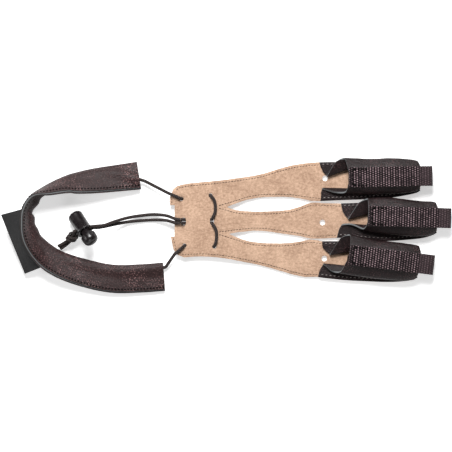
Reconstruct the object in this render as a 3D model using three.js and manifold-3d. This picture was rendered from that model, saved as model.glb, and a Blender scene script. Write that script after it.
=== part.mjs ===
// Archery glove as it lies on a table, with the smooth side of its palm leather down.
// Millimetres. X runs from the wrist strap to the fingertips, Y to the index finger, Z is up.
import * as THREE from 'three';
import { mergeVertices } from 'three/addons/utils/BufferGeometryUtils.js';
import Module from 'manifold-3d';

const wasm = await Module();
wasm.setup();

// Sizes of the palm leather, which every place in the plan is a share of
const palmLength = 107.6; // from the wrist edge to the finger roots
const palmWidth = 83.4; // across the finger roots
const palmThickness = 2;

// Clearances between pieces that touch
const gap = 0.3;
const knotGap = 0.25; // the knot is pulled tight

// Sizes of the finger stalls and of the elastic webbing on their backs
const stallLength = 73.8; // from the finger root to the tip
const stallWidth = 27; // widest, from seam to seam
const stallRise = 10; // height of the back above the sewn flange
const stallWall = 1.2;
const foldRadius = 0.95; // where the flange turns up into the wall
const bellyShare = 0.45; // height of the widest bulge as a share of the rise
const bellyRadius = 3.2;
const shoulderRadius = 3;
const webbingWidth = 14.4;
const webbingThickness = 1.2;
const webbingCrown = 0.4;
const webbingLap = 3; // length of the end sewn down on the fingertip
const webbingOverlap = 0.6; // how far the webbing covers the leather's shoulder

// Sizes of the cord, its holes and its knot
const cordDiameter = 2.3;
const laceHole = 3.6;
const laceBend = 2.2; // bend of the cord where it dives through a hole
const knotCord = 2; // the cord squeezed in the knot
const knotTurns = 2.25;
const punchedHole = 4;

// Sizes of the folded wrist strap and its label
const strapWidth = 20;
const strapPly = 1.3;
const channelWall = 1.2;
const labelWidth = 14.2;
const labelThickness = 0.8;
const labelSeam = 1.2; // how far below the strap's raw edge it is sewn

// Sizes of the cord lock
const barrelLength = 15.8;
const barrelRadius = 5.5;
const barrelEnd = 2.5; // rounding of its closed end
const barrelWall = 1.2;
const barrelFloor = 2;
const lipHeight = 1.1;
const lipProud = 0.3;
const stemStart = 6; // from the barrel's closed end
const knobStart = 20.4;
const knobHeight = 7.2;
const knobRadius = 5.9;
const knobRound = 1.3;
const buttonTravel = 2.2;
const lockTilt = THREE.MathUtils.degToRad(28);
const lockHeading = THREE.MathUtils.degToRad(-56.3);
const lockPlace = [-0.641, 0.048];
const cordCrossing = { left: 13.3, right: 16.2 }; // where the cords cross the stem, from its closed end

// Heights that follow from those sizes
const palmLift = cordDiameter + gap; // the wrist half lies on the cord that runs under it
const cordUnder = cordDiameter / 2;
const cordOver = palmLift + palmThickness + gap + cordDiameter / 2;
const cordPair = cordDiameter + gap; // between the middles of two cords side by side
const flangeMiddle = palmThickness + gap + stallWall / 2;
const bandOffset = (stallWall + webbingThickness) / 2 + gap;

// Makes a table's rows into records with the named columns
function table(names, rows) {
  return rows.map((row) => Object.fromEntries(names.map((name, i) => [name, row[i]])));
}

// Palm edges in the plan, as shares of the palm's length and width
const lowerEdge = [
  [0.094, -0.323], [0.202, -0.315], [0.292, -0.320], [0.381, -0.334], [0.471, -0.356],
  [0.605, -0.392], [0.739, -0.439], [0.829, -0.473], [0.901, -0.493],
];
const upperEdge = [
  [0.919, 0.492], [0.829, 0.475], [0.739, 0.446], [0.605, 0.394],
  [0.471, 0.365], [0.337, 0.342], [0.202, 0.325], [0.112, 0.313], [0.050, 0.295],
];
const wristEdge = [
  [0.023, 0.267], [0.000, 0.198], [0.000, 0.128], [0.031, 0.128], [0.031, -0.143],
  [0.005, -0.143], [0.023, -0.254], [0.050, -0.300],
];
const upperSlitBelow = [
  [1.017, 0.145], [0.960, 0.151], [0.919, 0.140], [0.874, 0.117], [0.784, 0.087],
  [0.605, 0.073], [0.515, 0.076], [0.435, 0.087], [0.381, 0.111],
];
const upperSlitAbove = [
  [0.435, 0.140], [0.515, 0.174], [0.605, 0.194], [0.695, 0.199], [0.784, 0.198],
  [0.874, 0.184], [0.946, 0.164],
];
const lowerSlitBelow = [
  [0.990, -0.174], [0.937, -0.169], [0.874, -0.184], [0.784, -0.199], [0.695, -0.201],
  [0.605, -0.196], [0.515, -0.179], [0.435, -0.143], [0.395, -0.121],
];
const lowerSlitAbove = [
  [0.435, -0.109], [0.515, -0.098], [0.560, -0.092], [0.650, -0.098], [0.739, -0.115],
  [0.829, -0.132], [0.883, -0.143], [0.937, -0.160], [1.017, -0.160],
];
const punchedHoles = [[1.037, 0.359], [1.020, -0.022], [1.032, -0.332]];
const rampShares = { start: 0.36, end: 0.6 }; // where the palm comes down to the table
const rampSteps = 3;

// Holes of the lace, as shares in the plan
const laceHoles = {
  upperLeft: [0.078, 0.182],
  lowerLeft: [0.098, -0.220],
  middleLeft: [0.094, -0.012],
  braceTop: [0.271, 0.213],
  braceMiddle: [0.281, -0.010],
  braceBottom: [0.296, -0.229],
};
const upperBrace = [[0.303, 0.065], [0.304, 0.117], [0.298, 0.173]];
const lowerBrace = [[0.309, -0.082], [0.312, -0.131], [0.310, -0.180]];

// Shape of each stall along its length, as shares of the stall's width from its middle line
const stallColumns = ['at', 'seamUp', 'creaseUp', 'bellyUp', 'bellyLow', 'creaseLow', 'seamLow'];
const fingers = {
  index: {
    root: [0.997, 0.363],
    heading: THREE.MathUtils.degToRad(1),
    loopReach: 7.2,
    frontUp: [0, 0.083, 0.234, 0.293],
    frontLow: [0.005, 0.05, 0.205, 0.288],
    shape: table(stallColumns, [
      [0.00, 0.42, -0.03, 0.47, -0.39, -0.28, -0.62],
      [0.12, 0.42, 0.07, 0.50, -0.40, -0.29, -0.61],
      [0.29, 0.41, 0.21, 0.50, -0.41, -0.31, -0.60],
      [0.50, 0.38, 0.23, 0.46, -0.44, -0.33, -0.59],
      [0.70, 0.35, 0.22, 0.47, -0.43, -0.33, -0.56],
      [0.85, 0.33, 0.22, 0.46, -0.41, -0.32, -0.50],
      [0.95, 0.28, 0.20, 0.41, -0.37, -0.30, -0.44],
      [1.00, 0.20, 0.17, 0.32, -0.32, -0.27, -0.36],
    ]),
  },
  middle: {
    root: [1.112, 0.046],
    heading: THREE.MathUtils.degToRad(-1.8),
    loopReach: 8.2,
    frontUp: [0.044, 0.103, 0.283, 0.315],
    frontLow: [0.003, 0.09, 0.242, 0.305],
    shape: table(stallColumns, [
      [0.00, 0.30, -0.18, 0.41, -0.35, -0.27, -0.62],
      [0.12, 0.32, -0.10, 0.42, -0.36, -0.25, -0.61],
      [0.29, 0.35, 0.03, 0.43, -0.37, -0.26, -0.65],
      [0.50, 0.37, 0.11, 0.48, -0.42, -0.29, -0.66],
      [0.70, 0.37, 0.17, 0.44, -0.44, -0.29, -0.61],
      [0.85, 0.36, 0.20, 0.41, -0.43, -0.30, -0.55],
      [0.95, 0.31, 0.19, 0.40, -0.38, -0.29, -0.46],
      [1.00, 0.23, 0.17, 0.32, -0.32, -0.27, -0.37],
    ]),
  },
  ring: {
    root: [0.997, -0.266],
    heading: THREE.MathUtils.degToRad(-7.1),
    loopReach: 8.8,
    frontUp: [0.028, 0.103, 0.249, 0.298],
    frontLow: [0.027, 0.057, 0.195, 0.282],
    shape: table(stallColumns, [
      [0.00, 0.26, -0.13, 0.49, -0.47, -0.35, -0.70],
      [0.12, 0.30, -0.06, 0.51, -0.48, -0.33, -0.70],
      [0.29, 0.35, 0.07, 0.49, -0.49, -0.32, -0.69],
      [0.50, 0.36, 0.15, 0.46, -0.48, -0.32, -0.65],
      [0.70, 0.36, 0.19, 0.46, -0.47, -0.32, -0.60],
      [0.85, 0.34, 0.20, 0.46, -0.44, -0.31, -0.53],
      [0.95, 0.29, 0.19, 0.44, -0.39, -0.29, -0.45],
      [1.00, 0.20, 0.17, 0.36, -0.32, -0.27, -0.35],
    ]),
  },
};
const stallBack = [0.955, 0.955, 0.985, 1]; // ends of the seam, fold, belly and back
const riseAlong = table(['at', 'rise'], [[0, 1], [0.3, 1], [0.7, 0.96], [0.85, 0.87], [0.95, 0.74], [1, 0.65]]);
const stallSteps = 8;
const fingerEdgeSteps = 8;

// Course of the strap's folded edge in the plan, from its lower end round to its upper end.
// lean is the turn of its face from flat outward, bow its bulge, channel the cord's place in it.
const strapCourse = table(['x', 'y', 'lean', 'bow', 'channel'], [
  [-0.046, -0.372, 2, 0.00, 0.16],
  [-0.194, -0.386, 4, 0.00, 0.16],
  [-0.379, -0.390, 8, -0.02, 0.16],
  [-0.565, -0.342, 16, -0.02, 0.16],
  [-0.720, -0.278, 28, -0.01, 0.16],
  [-0.816, -0.203, 40, 0.01, 0.16],
  [-0.880, -0.123, 54, 0.03, 0.16],
  [-0.905, -0.022, 62, 0.04, 0.16],
  [-0.905, 0.078, 66, 0.06, 0.16],
  [-0.880, 0.173, 76, 0.12, 0.16],
  [-0.820, 0.255, 103, 0.19, 0.16],
  [-0.736, 0.337, 122, 0.15, 0.16],
  [-0.659, 0.387, 135, 0.11, 0.16],
  [-0.506, 0.439, 151, 0.07, 0.17],
  [-0.348, 0.473, 160, 0.05, 0.35],
  [-0.221, 0.498, 169, 0.03, 0.64],
]);
const strapSteps = 32;
const labelSpan = { start: 0.408, end: 0.565 }; // shares of the strap's course
const labelLean = new THREE.Vector3(-0.92, -0.27, -0.3).normalize(); // how it hangs out from its seam

// Routes of the two free draw cords, from the palm's hole through the lock to their cut ends
const drawCordUpper = [
  [7.45, 0.3, 6.05], [3.9, 0.75, 6.2], [-1.9, 2.95, 5.2], [-11.5, 3.95, 1.9],
  [-21.2, 3.15, 1.6], [-30.8, 1.5, 4.4], [-40.5, -1.4, 9.4], [-47.2, -3.8, 12.6],
  [-51.6, -4.3, 13.5], [-55.4, -4.6, 13.25], [-62.0, -6.5, 12.2], [-68.6, -8.2, 10.8],
  [-69.9, -10.7, 9.1], [-71.2, -12.4, 8.0], [-72.4, -14.1, 6.9], [-76.6, -16.8, 4.9],
  [-80.4, -19.0, 4.0],
];
const drawCordLower = [
  [7.45, -2.3, 6.05], [3.9, -2.05, 6.2], [-1.9, -0.45, 5.0], [-11.5, 0.05, 1.6],
  [-21.2, -0.45, 1.4], [-30.8, -1.4, 2.6], [-40.5, -3.3, 6.6], [-47.2, -4.75, 9.6],
  [-51.0, -5.4, 10.8], [-54.7, -5.6, 10.95], [-61.3, -7.5, 9.9], [-67.4, -8.8, 8.6],
  [-68.2, -10.8, 7.2], [-69.4, -12.5, 6.1], [-70.7, -14.2, 5.0], [-75.0, -18.1, 3.5],
  [-78.9, -20.8, 2.6],
];
const drawCordSteps = 40;
const knotPlace = [-70.3, -12.45, 7.05];
const knotAlong = new THREE.Vector3(-0.52, -0.71, -0.47).normalize();
const knotStack = new THREE.Vector3(-0.69, 0.02, 0.72);
const knotSteps = 30;

// A place in the plan from its shares of the palm's length and width
function plan([x, y], z = 0) {
  return new THREE.Vector3(x * palmLength, y * palmWidth, z);
}

// Curved reading of a table's column between its rows
function lookup(rows, name, at) {
  const last = rows.length - 1;
  let i = 0;
  while (i < last - 1 && rows[i + 1].at < at) {
    i += 1;
  }
  const slope = (k) => {
    const before = rows[Math.max(k - 1, 0)];
    const after = rows[Math.min(k + 1, last)];
    return (after[name] - before[name]) / (after.at - before.at);
  };
  const step = rows[i + 1].at - rows[i].at;
  const t = (at - rows[i].at) / step;
  const fromStart = (1 + 2 * t) * (1 - t) ** 2 * rows[i][name] + t * (1 - t) ** 2 * step * slope(i);
  const fromEnd = t * t * (3 - 2 * t) * rows[i + 1][name] + t * t * (t - 1) * step * slope(i + 1);
  return fromStart + fromEnd;
}

// Smooth line through points of the plan
function smoothLine(points, stepsEach) {
  const curve = new THREE.SplineCurve(points.map((point) => new THREE.Vector2(plan(point).x, plan(point).y)));
  return curve.getPoints(stepsEach * (points.length - 1));
}

// Closed shell from corners and triangles, turned so that it faces out
function shell(corners, triangles) {
  const volume = triangles.reduce((sum, [a, b, c]) => {
    const cross = new THREE.Vector3().crossVectors(corners[b], corners[c]);
    return sum + corners[a].dot(cross);
  }, 0);
  const facing = volume > 0 ? triangles : triangles.map(([a, b, c]) => [a, c, b]);
  const geometry = new THREE.BufferGeometry().setFromPoints(corners);
  geometry.setIndex(facing.flat());
  return geometry;
}

// Joins equal corners and drops triangles that have shrunk to a line
function welded(geometry) {
  geometry.deleteAttribute('normal');
  geometry.deleteAttribute('uv');
  const joined = mergeVertices(geometry, 1e-4);
  const index = Array.from(joined.index.array);
  const kept = [];
  for (let i = 0; i < index.length; i += 3) {
    const [a, b, c] = index.slice(i, i + 3);
    if (a !== b && b !== c && c !== a) {
      kept.push(a, b, c);
    }
  }
  joined.setIndex(kept);
  return joined;
}

// Solid sheet of even thickness around a grid of points on its middle surface
function sheet(grid, thickness) {
  const rows = grid.length;
  const columns = grid[0].length;
  const corners = [];
  for (const side of [1, -1]) {
    for (let i = 0; i < rows; i += 1) {
      for (let j = 0; j < columns; j += 1) {
        const along = grid[Math.min(i + 1, rows - 1)][j].clone().sub(grid[Math.max(i - 1, 0)][j]);
        const across = grid[i][Math.min(j + 1, columns - 1)].clone().sub(grid[i][Math.max(j - 1, 0)]);
        const normal = along.cross(across).normalize();
        corners.push(grid[i][j].clone().addScaledVector(normal, (side * thickness) / 2));
      }
    }
  }
  const under = rows * columns;
  const place = (i, j) => i * columns + j;
  const triangles = [];
  for (let i = 0; i < rows - 1; i += 1) {
    for (let j = 0; j < columns - 1; j += 1) {
      const [a, b, c, d] = [place(i, j), place(i + 1, j), place(i + 1, j + 1), place(i, j + 1)];
      triangles.push([a, b, c], [a, c, d]);
      triangles.push([a + under, c + under, b + under], [a + under, d + under, c + under]);
    }
  }
  const rim = [];
  for (let i = 0; i < rows - 1; i += 1) {
    rim.push(place(i, 0));
  }
  for (let j = 0; j < columns - 1; j += 1) {
    rim.push(place(rows - 1, j));
  }
  for (let i = rows - 1; i > 0; i -= 1) {
    rim.push(place(i, columns - 1));
  }
  for (let j = columns - 1; j > 0; j -= 1) {
    rim.push(place(0, j));
  }
  rim.forEach((a, k) => {
    const b = rim[(k + 1) % rim.length];
    triangles.push([a, a + under, b + under], [a, b + under, b]);
  });
  return shell(corners, triangles);
}

// Round cord whose steps fall on the given points, so that tight bends keep theirs
function cordThrough(points, diameter, steps) {
  const curve = new THREE.CatmullRomCurve3(points, false, 'centripetal');
  if (steps === undefined) {
    curve.getUtoTmapping = (u) => u;
  }
  const sides = 8;
  const section = new THREE.Shape();
  for (let i = 0; i < sides; i += 1) {
    const angle = (2 * Math.PI * (i + 0.5)) / sides;
    const corner = [(diameter / 2) * Math.cos(angle), (diameter / 2) * Math.sin(angle)];
    if (i === 0) {
      section.moveTo(...corner);
    } else {
      section.lineTo(...corner);
    }
  }
  const settings = { steps: steps ?? points.length - 1, extrudePath: curve, bevelEnabled: false };
  return welded(new THREE.ExtrudeGeometry(section, settings));
}

// Line through corners that are each rounded by their own radius
function roundedLine(corners) {
  const line = [corners[0].at];
  for (let i = 1; i < corners.length - 1; i += 1) {
    const { at, radius = 0 } = corners[i];
    const back = corners[i - 1].at.clone().sub(at);
    const ahead = corners[i + 1].at.clone().sub(at);
    const room = 0.48 * Math.min(back.length(), ahead.length());
    const turn = Math.PI - back.angleTo(ahead);
    const reach = Math.min(radius * Math.tan(turn / 2), room);
    if (reach < 0.05) {
      line.push(at);
      continue;
    }
    const start = at.clone().addScaledVector(back.normalize(), reach);
    const end = at.clone().addScaledVector(ahead.normalize(), reach);
    const fit = reach / Math.tan(turn / 2);
    const centre = at.clone().addScaledVector(back.add(ahead).normalize(), Math.hypot(fit, reach));
    const from = start.clone().sub(centre);
    const to = end.clone().sub(centre);
    const steps = Math.max(1, Math.ceil(turn / THREE.MathUtils.degToRad(32)));
    for (let k = 0; k <= steps; k += 1) {
      const share = k / steps;
      const first = from.clone().multiplyScalar(Math.sin((1 - share) * turn) / Math.sin(turn));
      const second = to.clone().multiplyScalar(Math.sin(share * turn) / Math.sin(turn));
      line.push(centre.clone().add(first).add(second));
    }
  }
  line.push(corners[corners.length - 1].at);
  return line;
}

// Solid for manifold-3d, from a welded geometry
function toManifold(geometry) {
  const vertProperties = Float32Array.from(geometry.attributes.position.array);
  const triVerts = Uint32Array.from(geometry.index.array);
  return new wasm.Manifold(new wasm.Mesh({ numProp: 3, vertProperties, triVerts }));
}

// Geometry from a solid of manifold-3d
function fromManifold(solid) {
  const mesh = solid.getMesh();
  const geometry = new THREE.BufferGeometry();
  geometry.setAttribute('position', new THREE.BufferAttribute(mesh.vertProperties, 3));
  geometry.setIndex(Array.from(mesh.triVerts));
  return geometry;
}

// Height of the palm leather's underside: over the cord at the wrist, on the table at the fingers
function palmUnderside(x) {
  const share = (x / palmLength - rampShares.start) / (rampShares.end - rampShares.start);
  return palmLift * (1 - THREE.MathUtils.smoothstep(share, 0, 1));
}

// Place of a point of a stall, from its share along the stall and its distance across
function stallPlace(finger, at, across, z) {
  const along = at * stallLength;
  const root = plan(finger.root);
  const cos = Math.cos(finger.heading);
  const sin = Math.sin(finger.heading);
  return new THREE.Vector3(root.x + along * cos - across * sin, root.y + along * sin + across * cos, z);
}

// One edge of a finger's palm leather, under its stall's seam
function fingerEdge(finger, seam) {
  const points = [];
  for (let k = 0; k <= fingerEdgeSteps; k += 1) {
    const at = 1 - (1 - k / fingerEdgeSteps) ** 1.6;
    const place = stallPlace(finger, at, lookup(finger.shape, seam, at) * stallWidth, 0);
    points.push(new THREE.Vector2(place.x, place.y));
  }
  return points;
}

// Round or stadium-shaped hole of a leather piece, length along Y
function slotPath(centre, diameter, length) {
  const path = new THREE.Path();
  const half = (length - diameter) / 2;
  path.absarc(centre.x, centre.y + half, diameter / 2, 0, Math.PI, false);
  path.absarc(centre.x, centre.y - half, diameter / 2, Math.PI, 2 * Math.PI, false);
  path.closePath();
  return path;
}

// Splits the triangles that cross a line of constant x
function splitAt(triangles, x) {
  const meet = (p, q) => {
    const [a, b] = p.x < q.x ? [p, q] : [q, p];
    const share = (x - a.x) / (b.x - a.x);
    const point = a.clone().lerp(b, share);
    point.x = x;
    return point;
  };
  return triangles.flatMap((triangle) => {
    const sides = triangle.map((corner) => (Math.abs(corner.x - x) < 1e-6 ? 0 : Math.sign(corner.x - x)));
    if (!sides.includes(1) || !sides.includes(-1)) {
      return [triangle];
    }
    if (sides.includes(0)) {
      const k = sides.indexOf(0);
      const [a, b, c] = [triangle[k], triangle[(k + 1) % 3], triangle[(k + 2) % 3]];
      const middle = meet(b, c);
      return [[a, b, middle], [a, middle, c]];
    }
    const total = sides[0] + sides[1] + sides[2];
    const k = sides.findIndex((side) => side === -total);
    const [a, b, c] = [triangle[k], triangle[(k + 1) % 3], triangle[(k + 2) % 3]];
    const first = meet(a, b);
    const second = meet(a, c);
    return [[a, first, second], [first, b, c], [first, c, second]];
  });
}

// Palm leather with its three finger parts, slits and holes
function makePalm() {
  const { index, middle, ring } = fingers;
  const straight = (points) => points.map((point) => new THREE.Vector2(plan(point).x, plan(point).y));
  const outline = [
    ...smoothLine(lowerEdge, 1),
    ...fingerEdge(ring, 'seamLow'),
    ...fingerEdge(ring, 'seamUp').reverse(),
    ...smoothLine(lowerSlitBelow, 1),
    ...smoothLine(lowerSlitAbove, 1),
    ...fingerEdge(middle, 'seamLow'),
    ...fingerEdge(middle, 'seamUp').reverse(),
    ...smoothLine(upperSlitBelow, 1),
    ...smoothLine(upperSlitAbove, 1),
    ...fingerEdge(index, 'seamLow'),
    ...fingerEdge(index, 'seamUp').reverse(),
    ...smoothLine(upperEdge, 1),
    ...straight(wristEdge),
  ];
  const shape = new THREE.Shape(outline);
  for (const place of punchedHoles) {
    shape.holes.push(slotPath(plan(place), punchedHole, punchedHole));
  }
  for (const [name, place] of Object.entries(laceHoles)) {
    const length = name.startsWith('middle') || name === 'braceMiddle' ? laceHole + cordPair : laceHole;
    shape.holes.push(slotPath(plan(place), laceHole, length));
  }
  const flat = new THREE.ExtrudeGeometry(shape, { depth: palmThickness, bevelEnabled: false, curveSegments: 3 });
  const position = flat.attributes.position;
  let triangles = [];
  for (let i = 0; i < position.count; i += 3) {
    triangles.push([0, 1, 2].map((k) => new THREE.Vector3().fromBufferAttribute(position, i + k)));
  }
  for (let k = 0; k <= rampSteps; k += 1) {
    const share = rampShares.start + ((rampShares.end - rampShares.start) * k) / rampSteps;
    triangles = splitAt(triangles, share * palmLength);
  }
  const geometry = new THREE.BufferGeometry().setFromPoints(triangles.flat());
  const points = geometry.attributes.position;
  for (let i = 0; i < points.count; i += 1) {
    points.setZ(i, points.getZ(i) + palmUnderside(points.getX(i)));
  }
  return welded(geometry);
}

// Rounds one corner of a line in the plane of a section
function roundedCorner(before, corner, after, radius, steps) {
  const rounded = roundedLine([before, corner, after].map((point, k) => ({
    at: new THREE.Vector3(point.x, point.y, 0),
    radius: k === 1 ? radius : 0,
  })));
  const start = rounded[1];
  const end = rounded[rounded.length - 2];
  const bend = new THREE.QuadraticBezierCurve(
    new THREE.Vector2(start.x, start.y),
    corner,
    new THREE.Vector2(end.x, end.y),
  );
  return bend.getPoints(steps);
}

// Half of a stall's section from its seam to its back, with x outward and y up.
// cut says which of the four front ends each point belongs to.
function halfSection(seam, crease, belly, rise) {
  const centre = new THREE.Vector2(crease + foldRadius, flangeMiddle + foldRadius);
  const bulge = new THREE.Vector2(belly, flangeMiddle + rise * bellyShare);
  const half = webbingWidth / 2 - webbingOverlap;
  const shoulder = new THREE.Vector2(half, flangeMiddle + rise);
  const back = new THREE.Vector2(0, flangeMiddle + rise + webbingCrown);
  const toBulge = bulge.clone().sub(centre);
  const leave = toBulge.angle() + Math.acos(foldRadius / toBulge.length());
  const points = [{ at: new THREE.Vector2(seam, flangeMiddle), cut: 0 }];
  const foldSteps = 3;
  for (let k = 0; k <= foldSteps; k += 1) {
    const angle = THREE.MathUtils.lerp(1.5 * Math.PI, leave, k / foldSteps);
    const offset = new THREE.Vector2(Math.cos(angle), Math.sin(angle)).multiplyScalar(foldRadius);
    points.push({ at: centre.clone().add(offset), cut: 1 });
  }
  const wall = points[points.length - 1].at;
  for (const at of roundedCorner(wall, bulge, shoulder, bellyRadius, 3)) {
    points.push({ at, cut: 2 });
  }
  for (const at of roundedCorner(bulge, shoulder, back, shoulderRadius, 2)) {
    points.push({ at, cut: 3 });
  }
  return points;
}

// Whole section of a stall at one share of its length, from the upper seam to the lower
function stallSection(finger, at) {
  const share = (name) => lookup(finger.shape, name, at) * stallWidth;
  const rise = lookup(riseAlong, 'rise', at) * stallRise;
  const up = halfSection(share('seamUp'), share('creaseUp'), share('bellyUp'), rise);
  const low = halfSection(-share('seamLow'), -share('creaseLow'), -share('bellyLow'), rise);
  const back = { across: 0, z: flangeMiddle + rise + webbingCrown, cut: 3, side: 'frontUp' };
  const place = (points, sign, side) => points.map((p) => ({ across: sign * p.at.x, z: p.at.y, cut: p.cut, side }));
  return [...place(up, 1, 'frontUp'), back, ...place(low, -1, 'frontLow').reverse()];
}

// Leather stall of one finger: sewn flanges, folded-out walls and the back under the webbing
function makeStall(finger) {
  const marks = stallSection(finger, 0.5);
  const grid = [];
  for (let i = 0; i <= stallSteps; i += 1) {
    grid.push(marks.map(({ cut, side }, j) => {
      const at = THREE.MathUtils.lerp(finger[side][cut], stallBack[cut], i / stallSteps);
      const { across, z } = stallSection(finger, at)[j];
      return stallPlace(finger, at, across, z);
    }));
  }
  return sheet(grid, stallWall);
}

// Elastic webbing of one finger: along the back, round the tip and down onto the palm leather
function makeWebbing(finger) {
  const height = (at) => flangeMiddle + lookup(riseAlong, 'rise', at) * stallRise + bandOffset;
  const low = palmThickness + gap + webbingThickness / 2;
  const mouth = finger.frontUp[3];
  const line = [];
  const backSteps = 7;
  for (let k = 0; k <= backSteps; k += 1) {
    const at = THREE.MathUtils.lerp(mouth, 1, k / backSteps);
    line.push({ at, z: height(at), crown: webbingCrown });
  }
  const radius = (height(1) - low) / 2;
  const turnAt = 1 + (finger.loopReach - radius) / stallLength;
  const turnSteps = 7;
  for (let k = 0; k <= turnSteps; k += 1) {
    const angle = Math.PI * (0.5 - k / turnSteps);
    line.push({
      at: turnAt + (radius * Math.cos(angle)) / stallLength,
      z: low + radius + radius * Math.sin(angle),
      crown: webbingCrown * (1 - k / turnSteps),
    });
  }
  line.push({ at: 1 - webbingLap / stallLength, z: low, crown: 0 });
  const acrossSteps = 4;
  const grid = line.map(({ at, z, crown }) => {
    const row = [];
    for (let j = 0; j <= acrossSteps; j += 1) {
      const share = (2 * j) / acrossSteps - 1;
      const place = stallPlace(finger, at, (share * webbingWidth) / 2, z + crown * (1 - share * share));
      row.push(place);
    }
    return row;
  });
  return sheet(grid, webbingThickness);
}

// Frame of the strap at one share of its course: the folded edge, outward and its table values
const strapShares = [0.04, 0.13, 0.24, 0.38, 0.53, 0.68, 0.84, 1];
const strapLine = new THREE.SplineCurve(strapCourse.map(({ x, y }) => new THREE.Vector2(x * palmLength, y * palmWidth)));
function strapFrame(share) {
  const t = strapLine.getUtoTmapping(share);
  const edge = strapLine.getPoint(t);
  const tangent = strapLine.getTangent(t);
  const outward = new THREE.Vector3(-tangent.y, tangent.x, 0);
  const rows = strapCourse.map((row, i) => ({ ...row, at: i / (strapCourse.length - 1) }));
  const lean = THREE.MathUtils.degToRad(lookup(rows, 'lean', t));
  const bow = lookup(rows, 'bow', t) * strapWidth;
  const channel = lookup(rows, 'channel', t);
  const across = outward.clone().multiplyScalar(Math.cos(lean)).setZ(Math.sin(lean));
  const outer = outward.clone().multiplyScalar(Math.sin(lean)).setZ(-Math.cos(lean));
  const chord = strapWidth * (1 - (8 / 3) * (bow / strapWidth) ** 2);
  const middle = (q) => {
    const point = new THREE.Vector3(edge.x, edge.y, 0).addScaledVector(across, q * chord);
    return point.addScaledVector(outer, 4 * bow * q * (1 - q));
  };
  const channelRadius = cordDiameter / 2 + gap;
  const swell = (q) => {
    const far = Math.min(1, Math.abs((q - channel) * strapWidth) / (2.9 * channelRadius));
    return strapPly + (channelRadius + channelWall - strapPly) * (1 - far * far) ** 2;
  };
  const upper = strapShares.map((q) => middle(q).addScaledVector(outer, -swell(q)));
  const lower = strapShares.map((q) => middle(q).addScaledVector(outer, swell(q)));
  const ring = [middle(0), ...upper, ...lower.reverse()];
  const floor = Math.min(...ring.map((point) => point.z));
  ring.forEach((point) => point.setZ(point.z - floor));
  const cord = middle(channel);
  cord.z -= floor;
  const raw = middle(1);
  raw.z -= floor;
  return { ring, cord, raw, across, outer, outward };
}

// Folded wrist strap with the lace's channel through it
function makeStrap() {
  const corners = [];
  const triangles = [];
  const boreSides = 8;
  const channelRadius = (cordDiameter / 2 + gap) / Math.cos(Math.PI / boreSides);
  const frames = [];
  for (let i = 0; i <= strapSteps; i += 1) {
    frames.push(strapFrame(i / strapSteps));
  }
  const outerCount = frames[0].ring.length;
  const count = outerCount + boreSides;
  for (const { ring, cord, across, outer } of frames) {
    corners.push(...ring);
    for (let k = 0; k < boreSides; k += 1) {
      const angle = (2 * Math.PI * k) / boreSides;
      const point = cord.clone().addScaledVector(across, -channelRadius * Math.cos(angle));
      corners.push(point.addScaledVector(outer, -channelRadius * Math.sin(angle)));
    }
  }
  const band = (first, length, flip) => {
    for (let i = 0; i < strapSteps; i += 1) {
      for (let k = 0; k < length; k += 1) {
        const a = i * count + first + k;
        const b = i * count + first + ((k + 1) % length);
        const quad = [[a, b, b + count], [a, b + count, a + count]];
        triangles.push(...quad.map(([p, q, r]) => (flip ? [p, r, q] : [p, q, r])));
      }
    }
  };
  band(0, outerCount, false);
  band(outerCount, boreSides, true);
  for (const end of [0, strapSteps]) {
    const { ring, cord, across, outer } = frames[end];
    const flat = (point) => {
      const offset = point.clone().sub(cord);
      return new THREE.Vector2(offset.dot(across), offset.dot(outer));
    };
    const bore = corners.slice(end * count + outerCount, (end + 1) * count);
    const outline = ring.map(flat);
    const hole = bore.map(flat);
    for (const face of THREE.ShapeUtils.triangulateShape(outline, [hole])) {
      const [a, b, c] = face.map((k) => end * count + k);
      triangles.push(end === 0 ? [a, c, b] : [a, b, c]);
    }
  }
  return shell(corners, triangles);
}

// Bare woven label sewn by one long edge under the strap's raw edge, with its free edge straight
function makeLabel() {
  const steps = 7;
  const acrossSteps = 3;
  const seatAt = (share) => {
    const { raw, across, outer } = strapFrame(share);
    const seat = raw.clone().addScaledVector(outer, strapPly + gap + labelThickness / 2);
    return seat.addScaledVector(across, -labelSeam);
  };
  const freeCorner = (share) => seatAt(share).addScaledVector(labelLean, labelWidth);
  const first = freeCorner(labelSpan.start);
  const last = freeCorner(labelSpan.end);
  const grid = [];
  for (let i = 0; i <= steps; i += 1) {
    const seat = seatAt(THREE.MathUtils.lerp(labelSpan.start, labelSpan.end, i / steps));
    const free = first.clone().lerp(last, i / steps);
    const row = [];
    for (let j = 0; j <= acrossSteps; j += 1) {
      row.push(seat.clone().lerp(free, j / acrossSteps));
    }
    grid.push(row);
  }
  return sheet(grid, labelThickness);
}

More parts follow.
